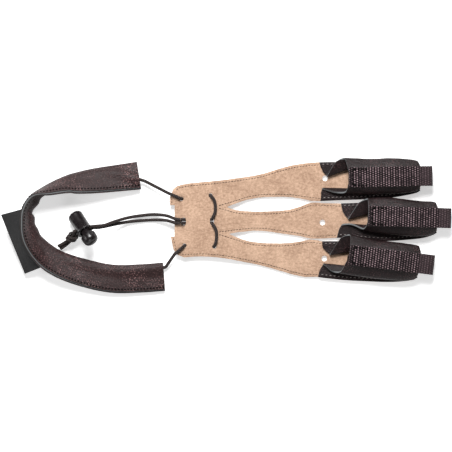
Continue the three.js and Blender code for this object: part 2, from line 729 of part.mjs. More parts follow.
// Held part of the lace: both braces, both spans to the strap and the stretch inside the strap
function makeLace() {
  const holes = Object.fromEntries(Object.entries(laceHoles).map(([name, place]) => [name, plan(place)]));
  const at = (place, z, side = 0) => {
    const point = new THREE.Vector3(place.x, place.y + (side * cordPair) / 2, z);
    return { at: point, radius: laceBend };
  };
  const arc = (points) => points.map((point) => ({ at: plan(point, cordOver), radius: 9 }));
  const stub = (place, side) => {
    const start = at(place, cordOver, side);
    start.at.x -= laceBend + 0.2;
    return start;
  };
  const channel = [];
  for (let k = 0; k <= strapSteps; k += 1) {
    channel.push({ at: strapFrame(1 - k / strapSteps).cord });
  }
  const beyond = (inside, end, length) => {
    const point = end.clone().add(end.clone().sub(inside).setLength(length));
    return { at: point, radius: 5 };
  };
  const leaveUpper = beyond(channel[1].at, channel[0].at, 4);
  const leaveLower = beyond(channel[strapSteps - 1].at, channel[strapSteps].at, 1.5);
  const landUpper = { at: plan([-0.012, 0.232], cordOver), radius: 8 };
  const landLower = { at: plan([0.030, -0.296], cordOver), radius: 4 };
  const corners = [
    stub(holes.middleLeft, 1), at(holes.middleLeft, cordOver, 1), at(holes.middleLeft, cordUnder, 1),
    at(holes.braceMiddle, cordUnder, 1), at(holes.braceMiddle, cordOver, 1), ...arc(upperBrace),
    at(holes.braceTop, cordOver), at(holes.braceTop, cordUnder),
    at(holes.upperLeft, cordUnder), at(holes.upperLeft, cordOver), landUpper, leaveUpper,
    ...channel,
    leaveLower, landLower, at(holes.lowerLeft, cordOver), at(holes.lowerLeft, cordUnder),
    at(holes.braceBottom, cordUnder), at(holes.braceBottom, cordOver), ...arc(lowerBrace).reverse(),
    at(holes.braceMiddle, cordOver, -1), at(holes.braceMiddle, cordUnder, -1),
    at(holes.middleLeft, cordUnder, -1), at(holes.middleLeft, cordOver, -1), stub(holes.middleLeft, -1),
  ];
  return cordThrough(roundedLine(corners), cordDiameter);
}

// Free draw cord along its list of points
function makeDrawCord(points) {
  return cordThrough(points.map((point) => new THREE.Vector3(...point)), cordDiameter, drawCordSteps);
}

// Knot that wraps both draw cords where they leave the lock
function makeKnot() {
  const stack = knotStack.clone().addScaledVector(knotAlong, -knotStack.dot(knotAlong)).normalize();
  const aside = new THREE.Vector3().crossVectors(knotAlong, stack);
  const tall = cordPair / 2 + cordDiameter / 2 + knotGap + knotCord / 2;
  const wide = cordDiameter / 2 + knotGap + knotCord / 2;
  const pitch = knotCord + knotGap;
  const points = [];
  for (let k = 0; k <= knotSteps; k += 1) {
    const turns = (knotTurns * k) / knotSteps;
    const angle = 2 * Math.PI * turns;
    const point = new THREE.Vector3(...knotPlace);
    point.addScaledVector(knotAlong, pitch * (turns - knotTurns / 2));
    point.addScaledVector(stack, tall * Math.cos(angle));
    points.push(point.addScaledVector(aside, wide * Math.sin(angle)));
  }
  return cordThrough(points, knotCord);
}

// Lathed solid from a profile of radius and height
function lathe(profile) {
  return welded(new THREE.LatheGeometry(profile.map(([x, y]) => new THREE.Vector2(x, y)), 24));
}

// Quarter-round of a lathe profile, from one angle to another
function quarter(centreX, centreY, radius, from, to, steps) {
  const points = [];
  for (let k = 0; k <= steps; k += 1) {
    const angle = THREE.MathUtils.lerp(from, to, k / steps);
    points.push([centreX + radius * Math.cos(angle), centreY + radius * Math.sin(angle)]);
  }
  return points;
}

// Block for a cut across the lock, from one height to another along its axis
function crossCut(width, tall, from, to, offset = 0) {
  const block = new THREE.BoxGeometry(width, to - from, tall);
  block.translate(offset, (from + to) / 2, 0);
  return toManifold(welded(block));
}

// Cord lock's barrel, closed at one end, open at the other, notched on both sides for the cords.
// Its axis is Y until the lock is laid down.
const slotHalf = cordPair / 2 + cordDiameter / 2 + gap;
const slotReach = cordDiameter / 2 + gap;
const boreRadius = barrelRadius - barrelWall;
function makeBarrel() {
  const lipRadius = barrelRadius + lipProud;
  const body = lathe([
    [0, 0],
    ...quarter(barrelRadius - barrelEnd, barrelEnd, barrelEnd, -Math.PI / 2, 0, 5),
    [barrelRadius, barrelLength - lipHeight - lipProud],
    [lipRadius, barrelLength - lipHeight],
    [lipRadius, barrelLength - lipProud],
    [barrelRadius, barrelLength],
    [boreRadius, barrelLength],
    [boreRadius, barrelFloor],
    [0, barrelFloor],
  ]);
  const slope = (cordCrossing.right - cordCrossing.left) / (2 * (boreRadius - gap));
  const middle = (cordCrossing.left + cordCrossing.right) / 2;
  const bottom = middle - slope * barrelRadius - slotReach;
  const notch = crossCut(4 * barrelRadius, 2 * slotHalf, bottom, barrelLength + 1);
  return fromManifold(toManifold(body).subtract(notch));
}

// Cord lock's button: the slotted stem inside the barrel and the knob on it
function makeButton() {
  const stemRadius = boreRadius - gap;
  const top = knobStart + knobHeight;
  const body = lathe([
    [0, stemStart],
    [stemRadius - 0.6, stemStart],
    [stemRadius, stemStart + 0.6],
    [stemRadius, knobStart],
    [knobRadius - 0.5, knobStart],
    [knobRadius, knobStart + 0.5],
    ...quarter(knobRadius - knobRound, top - knobRound, knobRound, 0, Math.PI / 2, 4),
    [0, top + 0.3],
  ]);
  const from = cordCrossing.left - slotReach;
  const to = cordCrossing.right + slotReach + buttonTravel;
  const slot = crossCut(4 * stemRadius, 2 * slotHalf, from, to);
  return fromManifold(toManifold(body).subtract(slot));
}

// Lays a piece of the lock down: closed end on the table, knob raised by the tilt
function placeLock(geometry) {
  const along = new THREE.Vector3(
    Math.cos(lockTilt) * Math.cos(lockHeading),
    Math.cos(lockTilt) * Math.sin(lockHeading),
    Math.sin(lockTilt),
  );
  const across = new THREE.Vector3(-Math.sin(lockHeading), Math.cos(lockHeading), 0);
  const up = new THREE.Vector3().crossVectors(along, across);
  const lie = new THREE.Matrix4().makeBasis(across, along, up.negate());
  const rest = (barrelRadius - barrelEnd) * Math.cos(lockTilt) + barrelEnd - barrelEnd * Math.sin(lockTilt);
  geometry.applyMatrix4(lie.setPosition(plan(lockPlace, rest)));
  return geometry;
}

// Colours and finishes of the real materials
const suede = new THREE.MeshStandardMaterial({ color: 0xb08a63, roughness: 0.95, metalness: 0 });
const leather = new THREE.MeshStandardMaterial({ color: 0x2b2220, roughness: 0.5, metalness: 0 });
const webbing = new THREE.MeshStandardMaterial({ color: 0x2a2524, roughness: 0.9, metalness: 0 });
const labelCloth = new THREE.MeshStandardMaterial({ color: 0x161414, roughness: 0.85, metalness: 0 });
const cord = new THREE.MeshStandardMaterial({ color: 0x3a302e, roughness: 0.8, metalness: 0 });
const plastic = new THREE.MeshStandardMaterial({ color: 0x1d1a1b, roughness: 0.25, metalness: 0 });

const glove = new THREE.Group();

// Adds one named piece to the glove
function add(name, geometry, material) {
  const mesh = new THREE.Mesh(geometry, material);
  mesh.name = name;
  glove.add(mesh);
}

add('palm_leather', makePalm(), suede);
for (const [name, finger] of Object.entries(fingers)) {
  add(`${name}_stall`, makeStall(finger), leather);
  add(`${name}_elastic`, makeWebbing(finger), webbing);
}
add('wrist_strap', makeStrap(), leather);
add('strap_label', makeLabel(), labelCloth);
add('lace_cord', makeLace(), cord);
add('draw_cord_upper', makeDrawCord(drawCordUpper), cord);
add('draw_cord_lower', makeDrawCord(drawCordLower), cord);
add('cord_knot', makeKnot(), cord);
add('cord_lock_barrel', placeLock(makeBarrel()), plastic);
add('cord_lock_button', placeLock(makeButton()), plastic);

// Puts the middle of the glove's footprint over the origin
const box = new THREE.Box3().setFromObject(glove);
const centre = box.getCenter(new THREE.Vector3());
glove.position.set(-centre.x, -centre.y, -box.min.z);

export default glove;
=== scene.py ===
import math

import bmesh
import bpy
from mathutils import Matrix, Vector, noise


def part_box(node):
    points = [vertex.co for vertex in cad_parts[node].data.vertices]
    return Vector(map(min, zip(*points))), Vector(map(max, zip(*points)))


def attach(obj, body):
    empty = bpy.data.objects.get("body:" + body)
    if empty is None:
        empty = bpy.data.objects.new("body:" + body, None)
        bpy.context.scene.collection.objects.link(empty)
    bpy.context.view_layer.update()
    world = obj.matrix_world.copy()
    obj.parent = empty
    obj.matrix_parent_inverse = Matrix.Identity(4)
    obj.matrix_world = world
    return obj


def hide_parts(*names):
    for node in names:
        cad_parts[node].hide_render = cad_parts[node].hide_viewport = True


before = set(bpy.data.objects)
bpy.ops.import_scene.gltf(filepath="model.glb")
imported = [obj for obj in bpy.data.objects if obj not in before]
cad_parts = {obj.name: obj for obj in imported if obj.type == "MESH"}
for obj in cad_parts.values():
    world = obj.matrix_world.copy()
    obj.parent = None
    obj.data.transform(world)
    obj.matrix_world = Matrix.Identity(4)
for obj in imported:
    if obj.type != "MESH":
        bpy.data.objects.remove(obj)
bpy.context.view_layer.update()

# Camera straight above the glove, far off with a long lens, so that nothing in it leans.
# The palm leather's wrist edge and its middle line lie on two known lines of the picture.
image_size = 452
pixel = 0.00072
wrist_edge_pixel = 170
middle_line_pixel = 220
camera_height = 5
palm_length = 0.1076
palm_width = 0.0834
wrist_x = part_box("palm_leather")[0].x
middle_y = 0.00482

camera_data = bpy.data.cameras.new("camera")
camera_data.lens = camera_data.sensor_width * camera_height / (image_size * pixel)
camera_data.clip_end = 20
camera = bpy.data.objects.new("camera", camera_data)
camera.location = (
    wrist_x + (image_size / 2 - wrist_edge_pixel) * pixel,
    middle_y + (middle_line_pixel - image_size / 2) * pixel,
    camera_height,
)
bpy.context.scene.collection.objects.link(camera)
bpy.context.scene.camera = camera


# Free draw cords: round elastic cord in a woven sheath, 2.3 mm thick, cut off behind the knot.
# They leave the palm's middle hole, cross the lock's slot and end side by side.
class Signal:
    """A socket of a material, so that plain arithmetic adds its Math nodes."""

    def __init__(self, finish, socket):
        self.finish = finish
        self.socket = socket

    def maths(self, operation, *others):
        sockets = dict(enumerate((self, *others)))
        return self.finish.node("ShaderNodeMath", {"operation": operation}, sockets)

    def __add__(self, other):
        return self.maths("ADD", other)

    def __sub__(self, other):
        return self.maths("SUBTRACT", other)

    def __rsub__(self, other):
        return self.finish.node("ShaderNodeMath", {"operation": "SUBTRACT"}, {0: other, 1: self})

    def __mul__(self, other):
        return self.maths("MULTIPLY", other)

    def __pow__(self, other):
        return self.maths("POWER", other)

    __radd__ = __add__
    __rmul__ = __mul__


class Finish:
    """A material made of nodes, with the constant sockets of its shader set by name."""

    def __init__(self, name, constants):
        self.material = bpy.data.materials.new(name)
        self.material.use_nodes = True
        self.tree = self.material.node_tree
        self.shader = self.tree.nodes["Principled BSDF"]
        for socket, value in constants.items():
            self.shader.inputs[socket].default_value = value

    def node(self, kind, settings, sockets, output=0):
        """Adds a node: its settings first, then the values or links of its sockets."""
        made = self.tree.nodes.new(kind)
        for name, value in settings.items():
            if name == "stops":
                for stop, (place, grey) in zip(made.color_ramp.elements, value):
                    stop.position = place
                    stop.color = (grey, grey, grey, 1)
            else:
                setattr(made, name, value)
        for name, value in sockets.items():
            if isinstance(value, Signal):
                self.tree.links.new(value.socket, made.inputs[name])
            else:
                made.inputs[name].default_value = value
        return Signal(self, made.outputs[output])

    def coordinates(self, kind):
        """Object or UV coordinates, in metres."""
        return self.node("ShaderNodeTexCoord", {}, {}, kind)

    def part(self, vector, axis):
        """One of the three numbers of a vector."""
        return self.node("ShaderNodeSeparateXYZ", {}, {0: vector}, axis)

    def noise(self, vector, scale, detail=3.0, roughness=0.55):
        """Soft random pattern from 0 to 1, scale in cells to the metre."""
        sockets = {"Vector": vector, "Scale": scale, "Detail": detail, "Roughness": roughness}
        return self.node("ShaderNodeTexNoise", {}, sockets)

    def ramp(self, value, low, high):
        """Turns low to 0 and high to 1, clamped and eased."""
        settings = {"interpolation_type": "SMOOTHSTEP"}
        return self.node("ShaderNodeMapRange", settings, {0: value, 1: low, 2: high, 3: 0.0, 4: 1.0})

    def shade(self, share, first, second):
        """Colour between two others."""
        return self.node("ShaderNodeMix", {"data_type": "RGBA"}, {0: share, 6: first, 7: second}, 2)

    def give(self, socket, signal):
        """Feeds one socket of the shader."""
        self.tree.links.new(signal.socket, self.shader.inputs[socket])

    def relief(self, height, depth):
        """Bumps the surface by a height from 0 to 1, depth in metres."""
        sockets = {"Height": height, "Distance": depth, "Strength": 1.0}
        self.give("Normal", self.node("ShaderNodeBump", {}, sockets))


def grainy_finish(name, constants, dark, light, scale, detail=3.0, roughness=0.55, depth=0):
    """Finish that wanders between two colours in a fine grain, bumped where it has a depth."""
    made = Finish(name, constants)
    grain = made.noise(made.coordinates("Object"), scale, detail, roughness)
    made.give("Base Color", made.shade(grain, dark, light))
    if depth:
        made.relief(grain, depth)
    return made


def finished_piece(name, form, finishes, body="glove"):
    """Turns a bmesh into a smooth-shaded piece that rides on a CAD body."""
    mesh = bpy.data.meshes.new(name)
    for face in form.faces:
        face.smooth = True
    form.to_mesh(mesh)
    form.free()
    for finish in finishes:
        mesh.materials.append(finish.material)
    piece = bpy.data.objects.new(name, mesh)
    bpy.context.scene.collection.objects.link(piece)
    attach(piece, body)
    return piece


def smooth_route(points, steps):
    """Even curve through points, with so many steps from each to the next."""
    ends = [points[0] * 2 - points[1], *points, points[-1] * 2 - points[-2]]
    route = []
    for before, start, end, after in zip(ends, ends[1:], ends[2:], ends[3:]):
        lead = math.sqrt((start - before).length)
        span = math.sqrt((end - start).length)
        trail = math.sqrt((after - end).length)
        leave = ((start - before) / lead - (end - before) / (lead + span) + (end - start) / span) * span
        arrive = ((end - start) / span - (after - start) / (span + trail) + (after - end) / trail) * span
        for step in range(steps):
            t = step / steps
            point = start * (2 * t**3 - 3 * t**2 + 1) + end * (3 * t**2 - 2 * t**3)
            route.append(point + leave * (t**3 - 2 * t**2 + t) + arrive * (t**3 - t**2))
    return [*route, points[-1].copy()]


def even_route(points, count):
    """The same line with its points at even distances, and its length."""
    reach = [0.0]
    for a, b in zip(points, points[1:]):
        reach.append(reach[-1] + (b - a).length)
    route = []
    k = 0
    for step in range(count + 1):
        goal = reach[-1] * step / count
        while k < len(points) - 2 and reach[k + 1] < goal:
            k += 1
        share = (goal - reach[k]) / max(reach[k + 1] - reach[k], 1e-9)
        route.append(points[k].lerp(points[k + 1], min(share, 1)))
    return route, reach[-1]


def grid_form(along, across, place, size=(1, 1)):
    """Grid of faces whose points are moved to place(u, v); its UV map runs from 0 to size."""
    form = bmesh.new()
    uv = form.loops.layers.uv.new("UVMap")
    bmesh.ops.create_grid(form, x_segments=along, y_segments=across, size=1.0, calc_uvs=True)
    for face in form.faces:
        for loop in face.loops:
            u = (loop.vert.co.x + 1) / 2
            v = (loop.vert.co.y + 1) / 2
            loop[uv].uv = (u * size[0], v * size[1])
    for corner in form.verts:
        corner.co = place((corner.co.x + 1) / 2, (corner.co.y + 1) / 2)
    return form


def tube_form(points, radius, step, sides=14):
    """Closed round tube along a line, with its length along U in metres and one turn along V."""
    count = max(2, round(even_route(points, 2)[1] / step))
    route, length = even_route(points, count)
    side = Vector((0, 0, 1))
    frames = []
    for k, point in enumerate(route):
        tangent = (route[min(k + 1, count)] - route[max(k - 1, 0)]).normalized()
        side = (side - tangent * side.dot(tangent)).normalized()
        frames.append((point, side.copy(), tangent.cross(side)))

    def place(u, v):
        point, first, second = frames[round(u * count)]
        angle = 2 * math.pi * v
        return point + first * (radius * math.cos(angle)) + second * (radius * math.sin(angle))

    form = grid_form(count, sides, place, (length, 1))
    bmesh.ops.remove_doubles(form, verts=form.verts, dist=radius / 100)
    rims = [edge for edge in form.edges if edge.is_boundary]
    for face in bmesh.ops.holes_fill(form, edges=rims)["faces"]:
        inset = bmesh.ops.inset_region(form, faces=[face], thickness=radius * 0.4, depth=radius * 0.5)
        for rim in inset["faces"]:
            rim.material_index = 0
        face.material_index = 1
    bmesh.ops.recalc_face_normals(form, faces=form.faces)
    return form


cord_diameter = 0.0023
cord_gap = 0.0003
tube_step = 0.0004
sheath_dark = (0.010, 0.0072, 0.0066, 1)
sheath_light = (0.088, 0.063, 0.058, 1)
sheath = Finish("cord_sheath", {"Roughness": 0.75, "Specular IOR Level": 0.3, "Sheen Weight": 0.08})
strands = sheath.coordinates("UV")
lay = sheath.part(strands, 0) * 520
turn = sheath.part(strands, 1) * 6
right_hand = ((lay + turn) * (2 * math.pi)).maths("SINE") * 0.5 + 0.5
left_hand = ((lay - turn) * (2 * math.pi)).maths("SINE") * 0.5 + 0.5
braid = right_hand.maths("MAXIMUM", left_hand)
crossing = (right_hand * left_hand) ** 0.8
flecks = sheath.noise(sheath.coordinates("Object"), 900)
worn = sheath.ramp(crossing * 0.75 + flecks * 0.6, 0.42, 1.0)
sheath.give("Base Color", sheath.shade(worn, sheath_dark, sheath_light))
sheath.relief(braid, 0.00018)

core = grainy_finish("cord_core", {"Roughness": 0.6}, (0.35, 0.33, 0.31, 1), (0.8, 0.77, 0.72, 1), 4000)

draw_cord_upper = [
    (0.00745, 0.0003, 0.00605), (0.0039, 0.00075, 0.0062), (-0.0019, 0.00295, 0.0052),
    (-0.0115, 0.00395, 0.0019), (-0.0212, 0.00315, 0.0016), (-0.0308, 0.0015, 0.0044),
    (-0.0405, -0.0014, 0.0094), (-0.0472, -0.0038, 0.0126), (-0.0516, -0.0043, 0.0135),
    (-0.0554, -0.0046, 0.01325), (-0.0620, -0.0065, 0.0122), (-0.0686, -0.0082, 0.0108),
    (-0.0699, -0.0107, 0.0091), (-0.0712, -0.0124, 0.0080), (-0.0724, -0.0141, 0.0069),
    (-0.0766, -0.0168, 0.0049), (-0.0804, -0.0190, 0.0040),
]
draw_cord_lower = [
    (0.00745, -0.0023, 0.00605), (0.0039, -0.00205, 0.0062), (-0.0019, -0.00045, 0.0050),
    (-0.0115, 0.00005, 0.0016), (-0.0212, -0.00045, 0.0014), (-0.0308, -0.0014, 0.0026),
    (-0.0405, -0.0033, 0.0066), (-0.0472, -0.00475, 0.0096), (-0.0510, -0.0054, 0.0108),
    (-0.0547, -0.0056, 0.01095), (-0.0613, -0.0075, 0.0099), (-0.0674, -0.0088, 0.0086),
    (-0.0682, -0.0108, 0.0072), (-0.0694, -0.0125, 0.0061), (-0.0707, -0.0142, 0.0050),
    (-0.0750, -0.0181, 0.0035), (-0.0789, -0.0208, 0.0026),
]
palm_corner = Vector((wrist_x, middle_y, 0))


def plan(along, across, height=0.0):
    """Point from its shares of the palm's length and width."""
    return palm_corner + Vector((along * palm_length, across * palm_width, height))


cord_pieces = {}
for name, points in {"draw_cord_upper": draw_cord_upper, "draw_cord_lower": draw_cord_lower}.items():
    route = smooth_route([palm_corner + Vector(point) for point in points], 8)
    tube = tube_form(route, cord_diameter / 2, tube_step)
    piece = finished_piece(f"{name}_sheath", tube, [sheath, core])
    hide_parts(name)
    cord_pieces[name] = (piece, route)

# Knot that ties the two draw cords behind the lock: the same cord, wound tightly round both.
knot_cord = 0.0021
knot_turns = 2.25
knot_steps = 72
knot_place = palm_corner + Vector((-0.0703, -0.01245, 0.00705))
knot_along = Vector((-0.52, -0.71, -0.47)).normalized()
knot_stack = Vector((-0.69, 0.02, 0.72))
knot_stack = (knot_stack - knot_along * knot_stack.dot(knot_along)).normalized()
knot_aside = knot_along.cross(knot_stack)
knot_gap = 0.00012
knot_tall = (cord_diameter + cord_gap) / 2 + cord_diameter / 2 + knot_gap + knot_cord / 2
knot_wide = cord_diameter / 2 + knot_gap + knot_cord / 2
knot_route = []
for step in range(knot_steps + 1):
    turns = knot_turns * step / knot_steps
    angle = 2 * math.pi * turns
    point = knot_place + knot_along * ((knot_cord + knot_gap) * (turns - knot_turns / 2))
    point += knot_stack * (knot_tall * math.cos(angle))
    knot_route.append(point + knot_aside * (knot_wide * math.sin(angle)))
knot_form = tube_form(knot_route, knot_cord / 2, 0.0003)
knot = finished_piece("knot_wraps", knot_form, [sheath, core])
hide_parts("cord_knot")

# Spring cord lock: glossy moulded barrel, closed at one end, with a slotted button in it.
# The barrel is notched on both sides for the cords, and lies with its button end raised.
barrel_length = 0.0168
barrel_radius = 0.0055
barrel_end = 0.0025
barrel_wall = 0.0012
barrel_floor = 0.002
lip_height = 0.0014
lip_proud = 0.0008
lip_round = 0.0005
stem_start = 0.006
stem_round = 0.0006
knob_start = 0.0204
knob_height = 0.0072
knob_radius = 0.0056
knob_fullness = 3.2
knob_round = 0.0009
knob_side = 0.002
knob_steps = 18
slot_edge = 0.00015
turning_steps = 56
button_travel = 0.0022
crossing_left = 0.0133
crossing_right = 0.0162
lock_shares = (-0.641, 0.048)
lock_tilt = math.radians(28)
lock_heading = math.radians(-56.3)
lock_along = Vector((
    math.cos(lock_tilt) * math.cos(lock_heading),
    math.cos(lock_tilt) * math.sin(lock_heading),
    math.sin(lock_tilt),
))
lock_across = Vector((-math.sin(lock_heading), math.cos(lock_heading), 0))
lock_up = lock_across.cross(lock_along)
lock_rest = (barrel_radius - barrel_end) * math.cos(lock_tilt) + barrel_end * (1 - math.sin(lock_tilt))
lie_down = Matrix((lock_across, lock_up, lock_along)).transposed().to_4x4()
lie_down.translation = plan(*lock_shares, lock_rest)

plastic = Finish("lock_plastic", {"Specular IOR Level": 0.5})
lock_scuffs = plastic.noise(plastic.coordinates("Object"), 260, 5.0, 0.65)
mould_skin = plastic.noise(plastic.coordinates("Object"), 3200, 2.0)
lock_tone = plastic.shade(lock_scuffs, (0.0045, 0.0034, 0.0038, 1), (0.014, 0.0102, 0.0115, 1))
plastic.give("Base Color", lock_tone)
plastic.give("Roughness", plastic.ramp(lock_scuffs, 0.3, 0.75) * 0.14 + 0.24)
plastic.relief(mould_skin, 0.00001)


def turned_form(profile):
    """Body of revolution about Z from (radius, height) corners, from pole to pole."""
    form = bmesh.new()
    corners = [form.verts.new((x, 0, z)) for x, z in profile]
    lines = [form.edges.new(pair) for pair in zip(corners, corners[1:])]
    bmesh.ops.spin(
        form, geom=corners + lines, cent=(0, 0, 0), axis=(0, 0, 1), angle=2 * math.pi,
        steps=turning_steps, use_merge=True,
    )
    bmesh.ops.remove_doubles(form, verts=form.verts, dist=1e-6)
    bmesh.ops.recalc_face_normals(form, faces=form.faces)
    return form


def quarter(centre, height, radius, start, end, steps):
    """Corners of an arc of a turned profile."""
    angles = [start + (end - start) * k / steps for k in range(steps + 1)]
    return [(centre + radius * math.cos(a), height + radius * math.sin(a)) for a in angles]


def slotted(piece, low, high, slope):
    """Cuts the cords' slot across a piece of the lock, between two heights, then lays it down."""
    slot_half = (cord_diameter + cord_gap) / 2 + cord_diameter / 2 + cord_gap
    form = bmesh.new()
    bmesh.ops.create_cube(form, size=1.0)
    bmesh.ops.scale(form, vec=(4 * barrel_radius, 2 * slot_half, high - low), verts=form.verts)
    for corner in form.verts:
        corner.co.z += (low + high) / 2 + slope * corner.co.x
    block = finished_piece("cutting_block", form, [plastic])
    cut = piece.modifiers.new("slot", "BOOLEAN")
    cut.operation = "DIFFERENCE"
    cut.solver = "EXACT"
    cut.object = block
    soft_edge = piece.modifiers.new("soft_edge", "BEVEL")
    soft_edge.width = slot_edge
    soft_edge.segments = 2
    soft_edge.limit_method = "ANGLE"
    soft_edge.angle_limit = math.radians(40)
    bpy.context.view_layer.update()
    graph = bpy.context.evaluated_depsgraph_get()
    cut_mesh = bpy.data.meshes.new_from_object(piece.evaluated_get(graph))
    piece.modifiers.clear()
    bpy.data.objects.remove(block)
    cut_mesh.transform(lie_down)
    for face in cut_mesh.polygons:
        face.use_smooth = True
    cut_mesh.set_sharp_from_angle(angle=math.radians(50))
    piece.data = cut_mesh
    return piece


bore_radius = barrel_radius - barrel_wall
lip_radius = barrel_radius + lip_proud
barrel_profile = [(0, 0)]
barrel_profile += quarter(barrel_radius - barrel_end, barrel_end, barrel_end, -math.pi / 2, 0, 10)
barrel_profile += [(barrel_radius, barrel_length - lip_height - lip_proud)]
barrel_profile += quarter(
    lip_radius - lip_round, barrel_length - lip_round, lip_round, -math.pi / 4, math.pi / 2, 6,
)
barrel_profile += [(bore_radius, barrel_length), (bore_radius, barrel_floor), (0, barrel_floor)]
barrel = finished_piece("lock_barrel", turned_form(barrel_profile), [plastic])
cord_reach = cord_diameter / 2 + cord_gap
crossing = (crossing_left + crossing_right) / 2
crossing_slope = (crossing_right - crossing_left) / (2 * (bore_radius - cord_gap))
slotted(barrel, crossing - cord_reach, crossing + cord_reach, crossing_slope)
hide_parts("cord_lock_barrel")

stem_radius = bore_radius - cord_gap
knob_top = knob_start + knob_height
button_profile = [(0, stem_start), (stem_radius - stem_round, stem_start)]
button_profile += [(stem_radius, stem_start + stem_round), (stem_radius, knob_start)]
button_profile += quarter(
    knob_radius - knob_round, knob_start + knob_round, knob_round, -math.pi / 2, 0, 5,
)
knob_dome = knob_top - knob_start - knob_side
for k in range(knob_steps):
    angle = math.pi / 2 * k / knob_steps
    out = math.cos(angle) ** (2 / knob_fullness)
    rise = math.sin(angle) ** (2 / knob_fullness)
    button_profile.append((knob_radius * out, knob_top - knob_dome * (1 - rise)))
button_profile += [(0, knob_top)]
button_form = turned_form(button_profile)
button = finished_piece("lock_button_knob", button_form, [plastic], "button")
slotted(button, crossing_left - cord_reach, crossing_right + cord_reach + button_travel, 0)
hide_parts("cord_lock_button")

for name, (piece, route) in cord_pieces.items():
    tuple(route[0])
    even_route(route, 2)[1]
    [knot, barrel, button] if name == "draw_cord_upper" else []


# Wrist strap: dark smooth leather folded over the lace and sewn along its raw edges, in a C
# that lies flat at one arm, stands up round the bend and lies turned over at the other arm.
strap_width = 0.02
strap_ply = 0.0013
skin = 0.0009
edge_step = 0.06
buckle_share = 0.556
buckle_depth = 0.0033
buckle_spread = 0.022
channel_wall = 0.0012
crease_spread = 0.07
crease_turns = 120
crease_depth = 0.0009
flesh_start = 0.84
fuzz_depth = 0.00008
strap_columns = ("x", "y", "lean", "bow", "channel")
strap_course = [
    (-0.046, -0.372, 2, 0.00, 0.16),
    (-0.194, -0.386, 4, 0.00, 0.16),
    (-0.379, -0.390, 8, -0.02, 0.16),
    (-0.565, -0.342, 16, -0.02, 0.16),
    (-0.720, -0.278, 28, -0.01, 0.16),
    (-0.816, -0.203, 40, 0.01, 0.16),
    (-0.880, -0.123, 54, 0.03, 0.16),
    (-0.905, -0.022, 62, 0.04, 0.16),
    (-0.905, 0.078, 66, 0.06, 0.16),
    (-0.880, 0.173, 76, 0.12, 0.16),
    (-0.820, 0.255, 103, 0.19, 0.16),
    (-0.736, 0.337, 122, 0.15, 0.16),
    (-0.659, 0.387, 135, 0.11, 0.16),
    (-0.506, 0.439, 151, 0.07, 0.17),
    (-0.348, 0.473, 160, 0.05, 0.35),
    (-0.221, 0.498, 169, 0.03, 0.64),
]


def lookup(places, values, at):
    """Curved reading of a column of values between its places."""
    last = len(places) - 1
    i = 0
    while i < last - 1 and places[i + 1] < at:
        i += 1

    def slope(k):
        before = max(k - 1, 0)
        after = min(k + 1, last)
        return (values[after] - values[before]) / (places[after] - places[before])

    step = places[i + 1] - places[i]
    t = (at - places[i]) / step
    start = (1 + 2 * t) * (1 - t) ** 2 * values[i] + t * (1 - t) ** 2 * step * slope(i)
    return start + t * t * (3 - 2 * t) * values[i + 1] + t * t * (t - 1) * step * slope(i + 1)


strap_places = [k / (len(strap_course) - 1) for k in range(len(strap_course))]
strap_samples = 600


def strap_value(name, t):
    """Value of one column of the strap's course."""
    column = [row[strap_columns.index(name)] for row in strap_course]
    return lookup(strap_places, column, t)


def strap_edge(t):
    """Folded edge of the strap in the plan."""
    return plan(strap_value("x", t), strap_value("y", t))


strap_walk = [strap_edge(k / strap_samples) for k in range(strap_samples + 1)]
strap_reach = [0.0]
for a, b in zip(strap_walk, strap_walk[1:]):
    strap_reach.append(strap_reach[-1] + (b - a).length)


def strap_t(share):
    """Place in the course's table for a share of the strap's length."""
    goal = share * strap_reach[-1]
    k = max(i for i, reach in enumerate(strap_reach[:-1]) if reach <= goal)
    return (k + (goal - strap_reach[k]) / (strap_reach[k + 1] - strap_reach[k])) / strap_samples


class StrapStation:
    """Section of the strap at one share of its length."""

    def __init__(self, share):
        t = strap_t(min(max(share, 0), 1))
        ahead = strap_edge(min(t + 0.002, 1)) - strap_edge(max(t - 0.002, 0))
        tangent = ahead.normalized()
        outward = Vector((-tangent.y, tangent.x, 0))
        lean = math.radians(strap_value("lean", t))
        kink = math.exp(-abs(share - buckle_share) / buckle_spread)
        self.edge = strap_edge(t)
        self.buckle = outward * (buckle_depth * kink)
        self.lean = lean
        self.bow = strap_value("bow", t) * strap_width
        self.channel = strap_value("channel", t)
        self.tangent = tangent
        self.across = outward * math.cos(lean) + Vector((0, 0, math.sin(lean)))
        self.outer = outward * math.sin(lean) - Vector((0, 0, math.cos(lean)))
        self.chord = strap_width * (1 - (8 / 3) * (self.bow / strap_width) ** 2)
        rim = [
            self.middle(q) + self.outer * (side * self.swell(q))
            for q in strap_floor_shares for side in (1, -1)
        ]
        self.floor = min(point.z for point in [*rim, self.middle(0)])

    def middle(self, q):
        """Point between the two plies, q from the fold at 0 to the raw edge at 1."""
        flat = self.edge + self.across * (q * self.chord) + self.outer * (4 * self.bow * q * (1 - q))
        return flat + self.buckle * max(0, 1 - q) ** 1.5

    def swell(self, q):
        """Half of the strap's thickness, which swells over the lace."""
        room = cord_diameter / 2 + cord_gap
        slack = 2.9 if q < self.channel else 4.6
        far = min(1, abs((q - self.channel) * strap_width) / (slack * room))
        return strap_ply + (room + channel_wall - strap_ply) * (1 - far * far) ** 2

    def ply(self, q, side, out=0.0):
        """Point of a ply's skin, at its middle or so far out from it."""
        point = self.middle(q) + self.outer * (side * (self.swell(q) - skin / 2 + out))
        return point - Vector((0, 0, self.floor))

    def raw_edge(self, side):
        """Share at which a ply ends: the lower ply stands out a little from under the upper."""
        return 1 - edge_step * (1 - side * math.cos(self.lean)) / 2

    def lace(self):
        """Middle of the lace in its channel."""
        return self.middle(self.channel) - Vector((0, 0, self.floor))


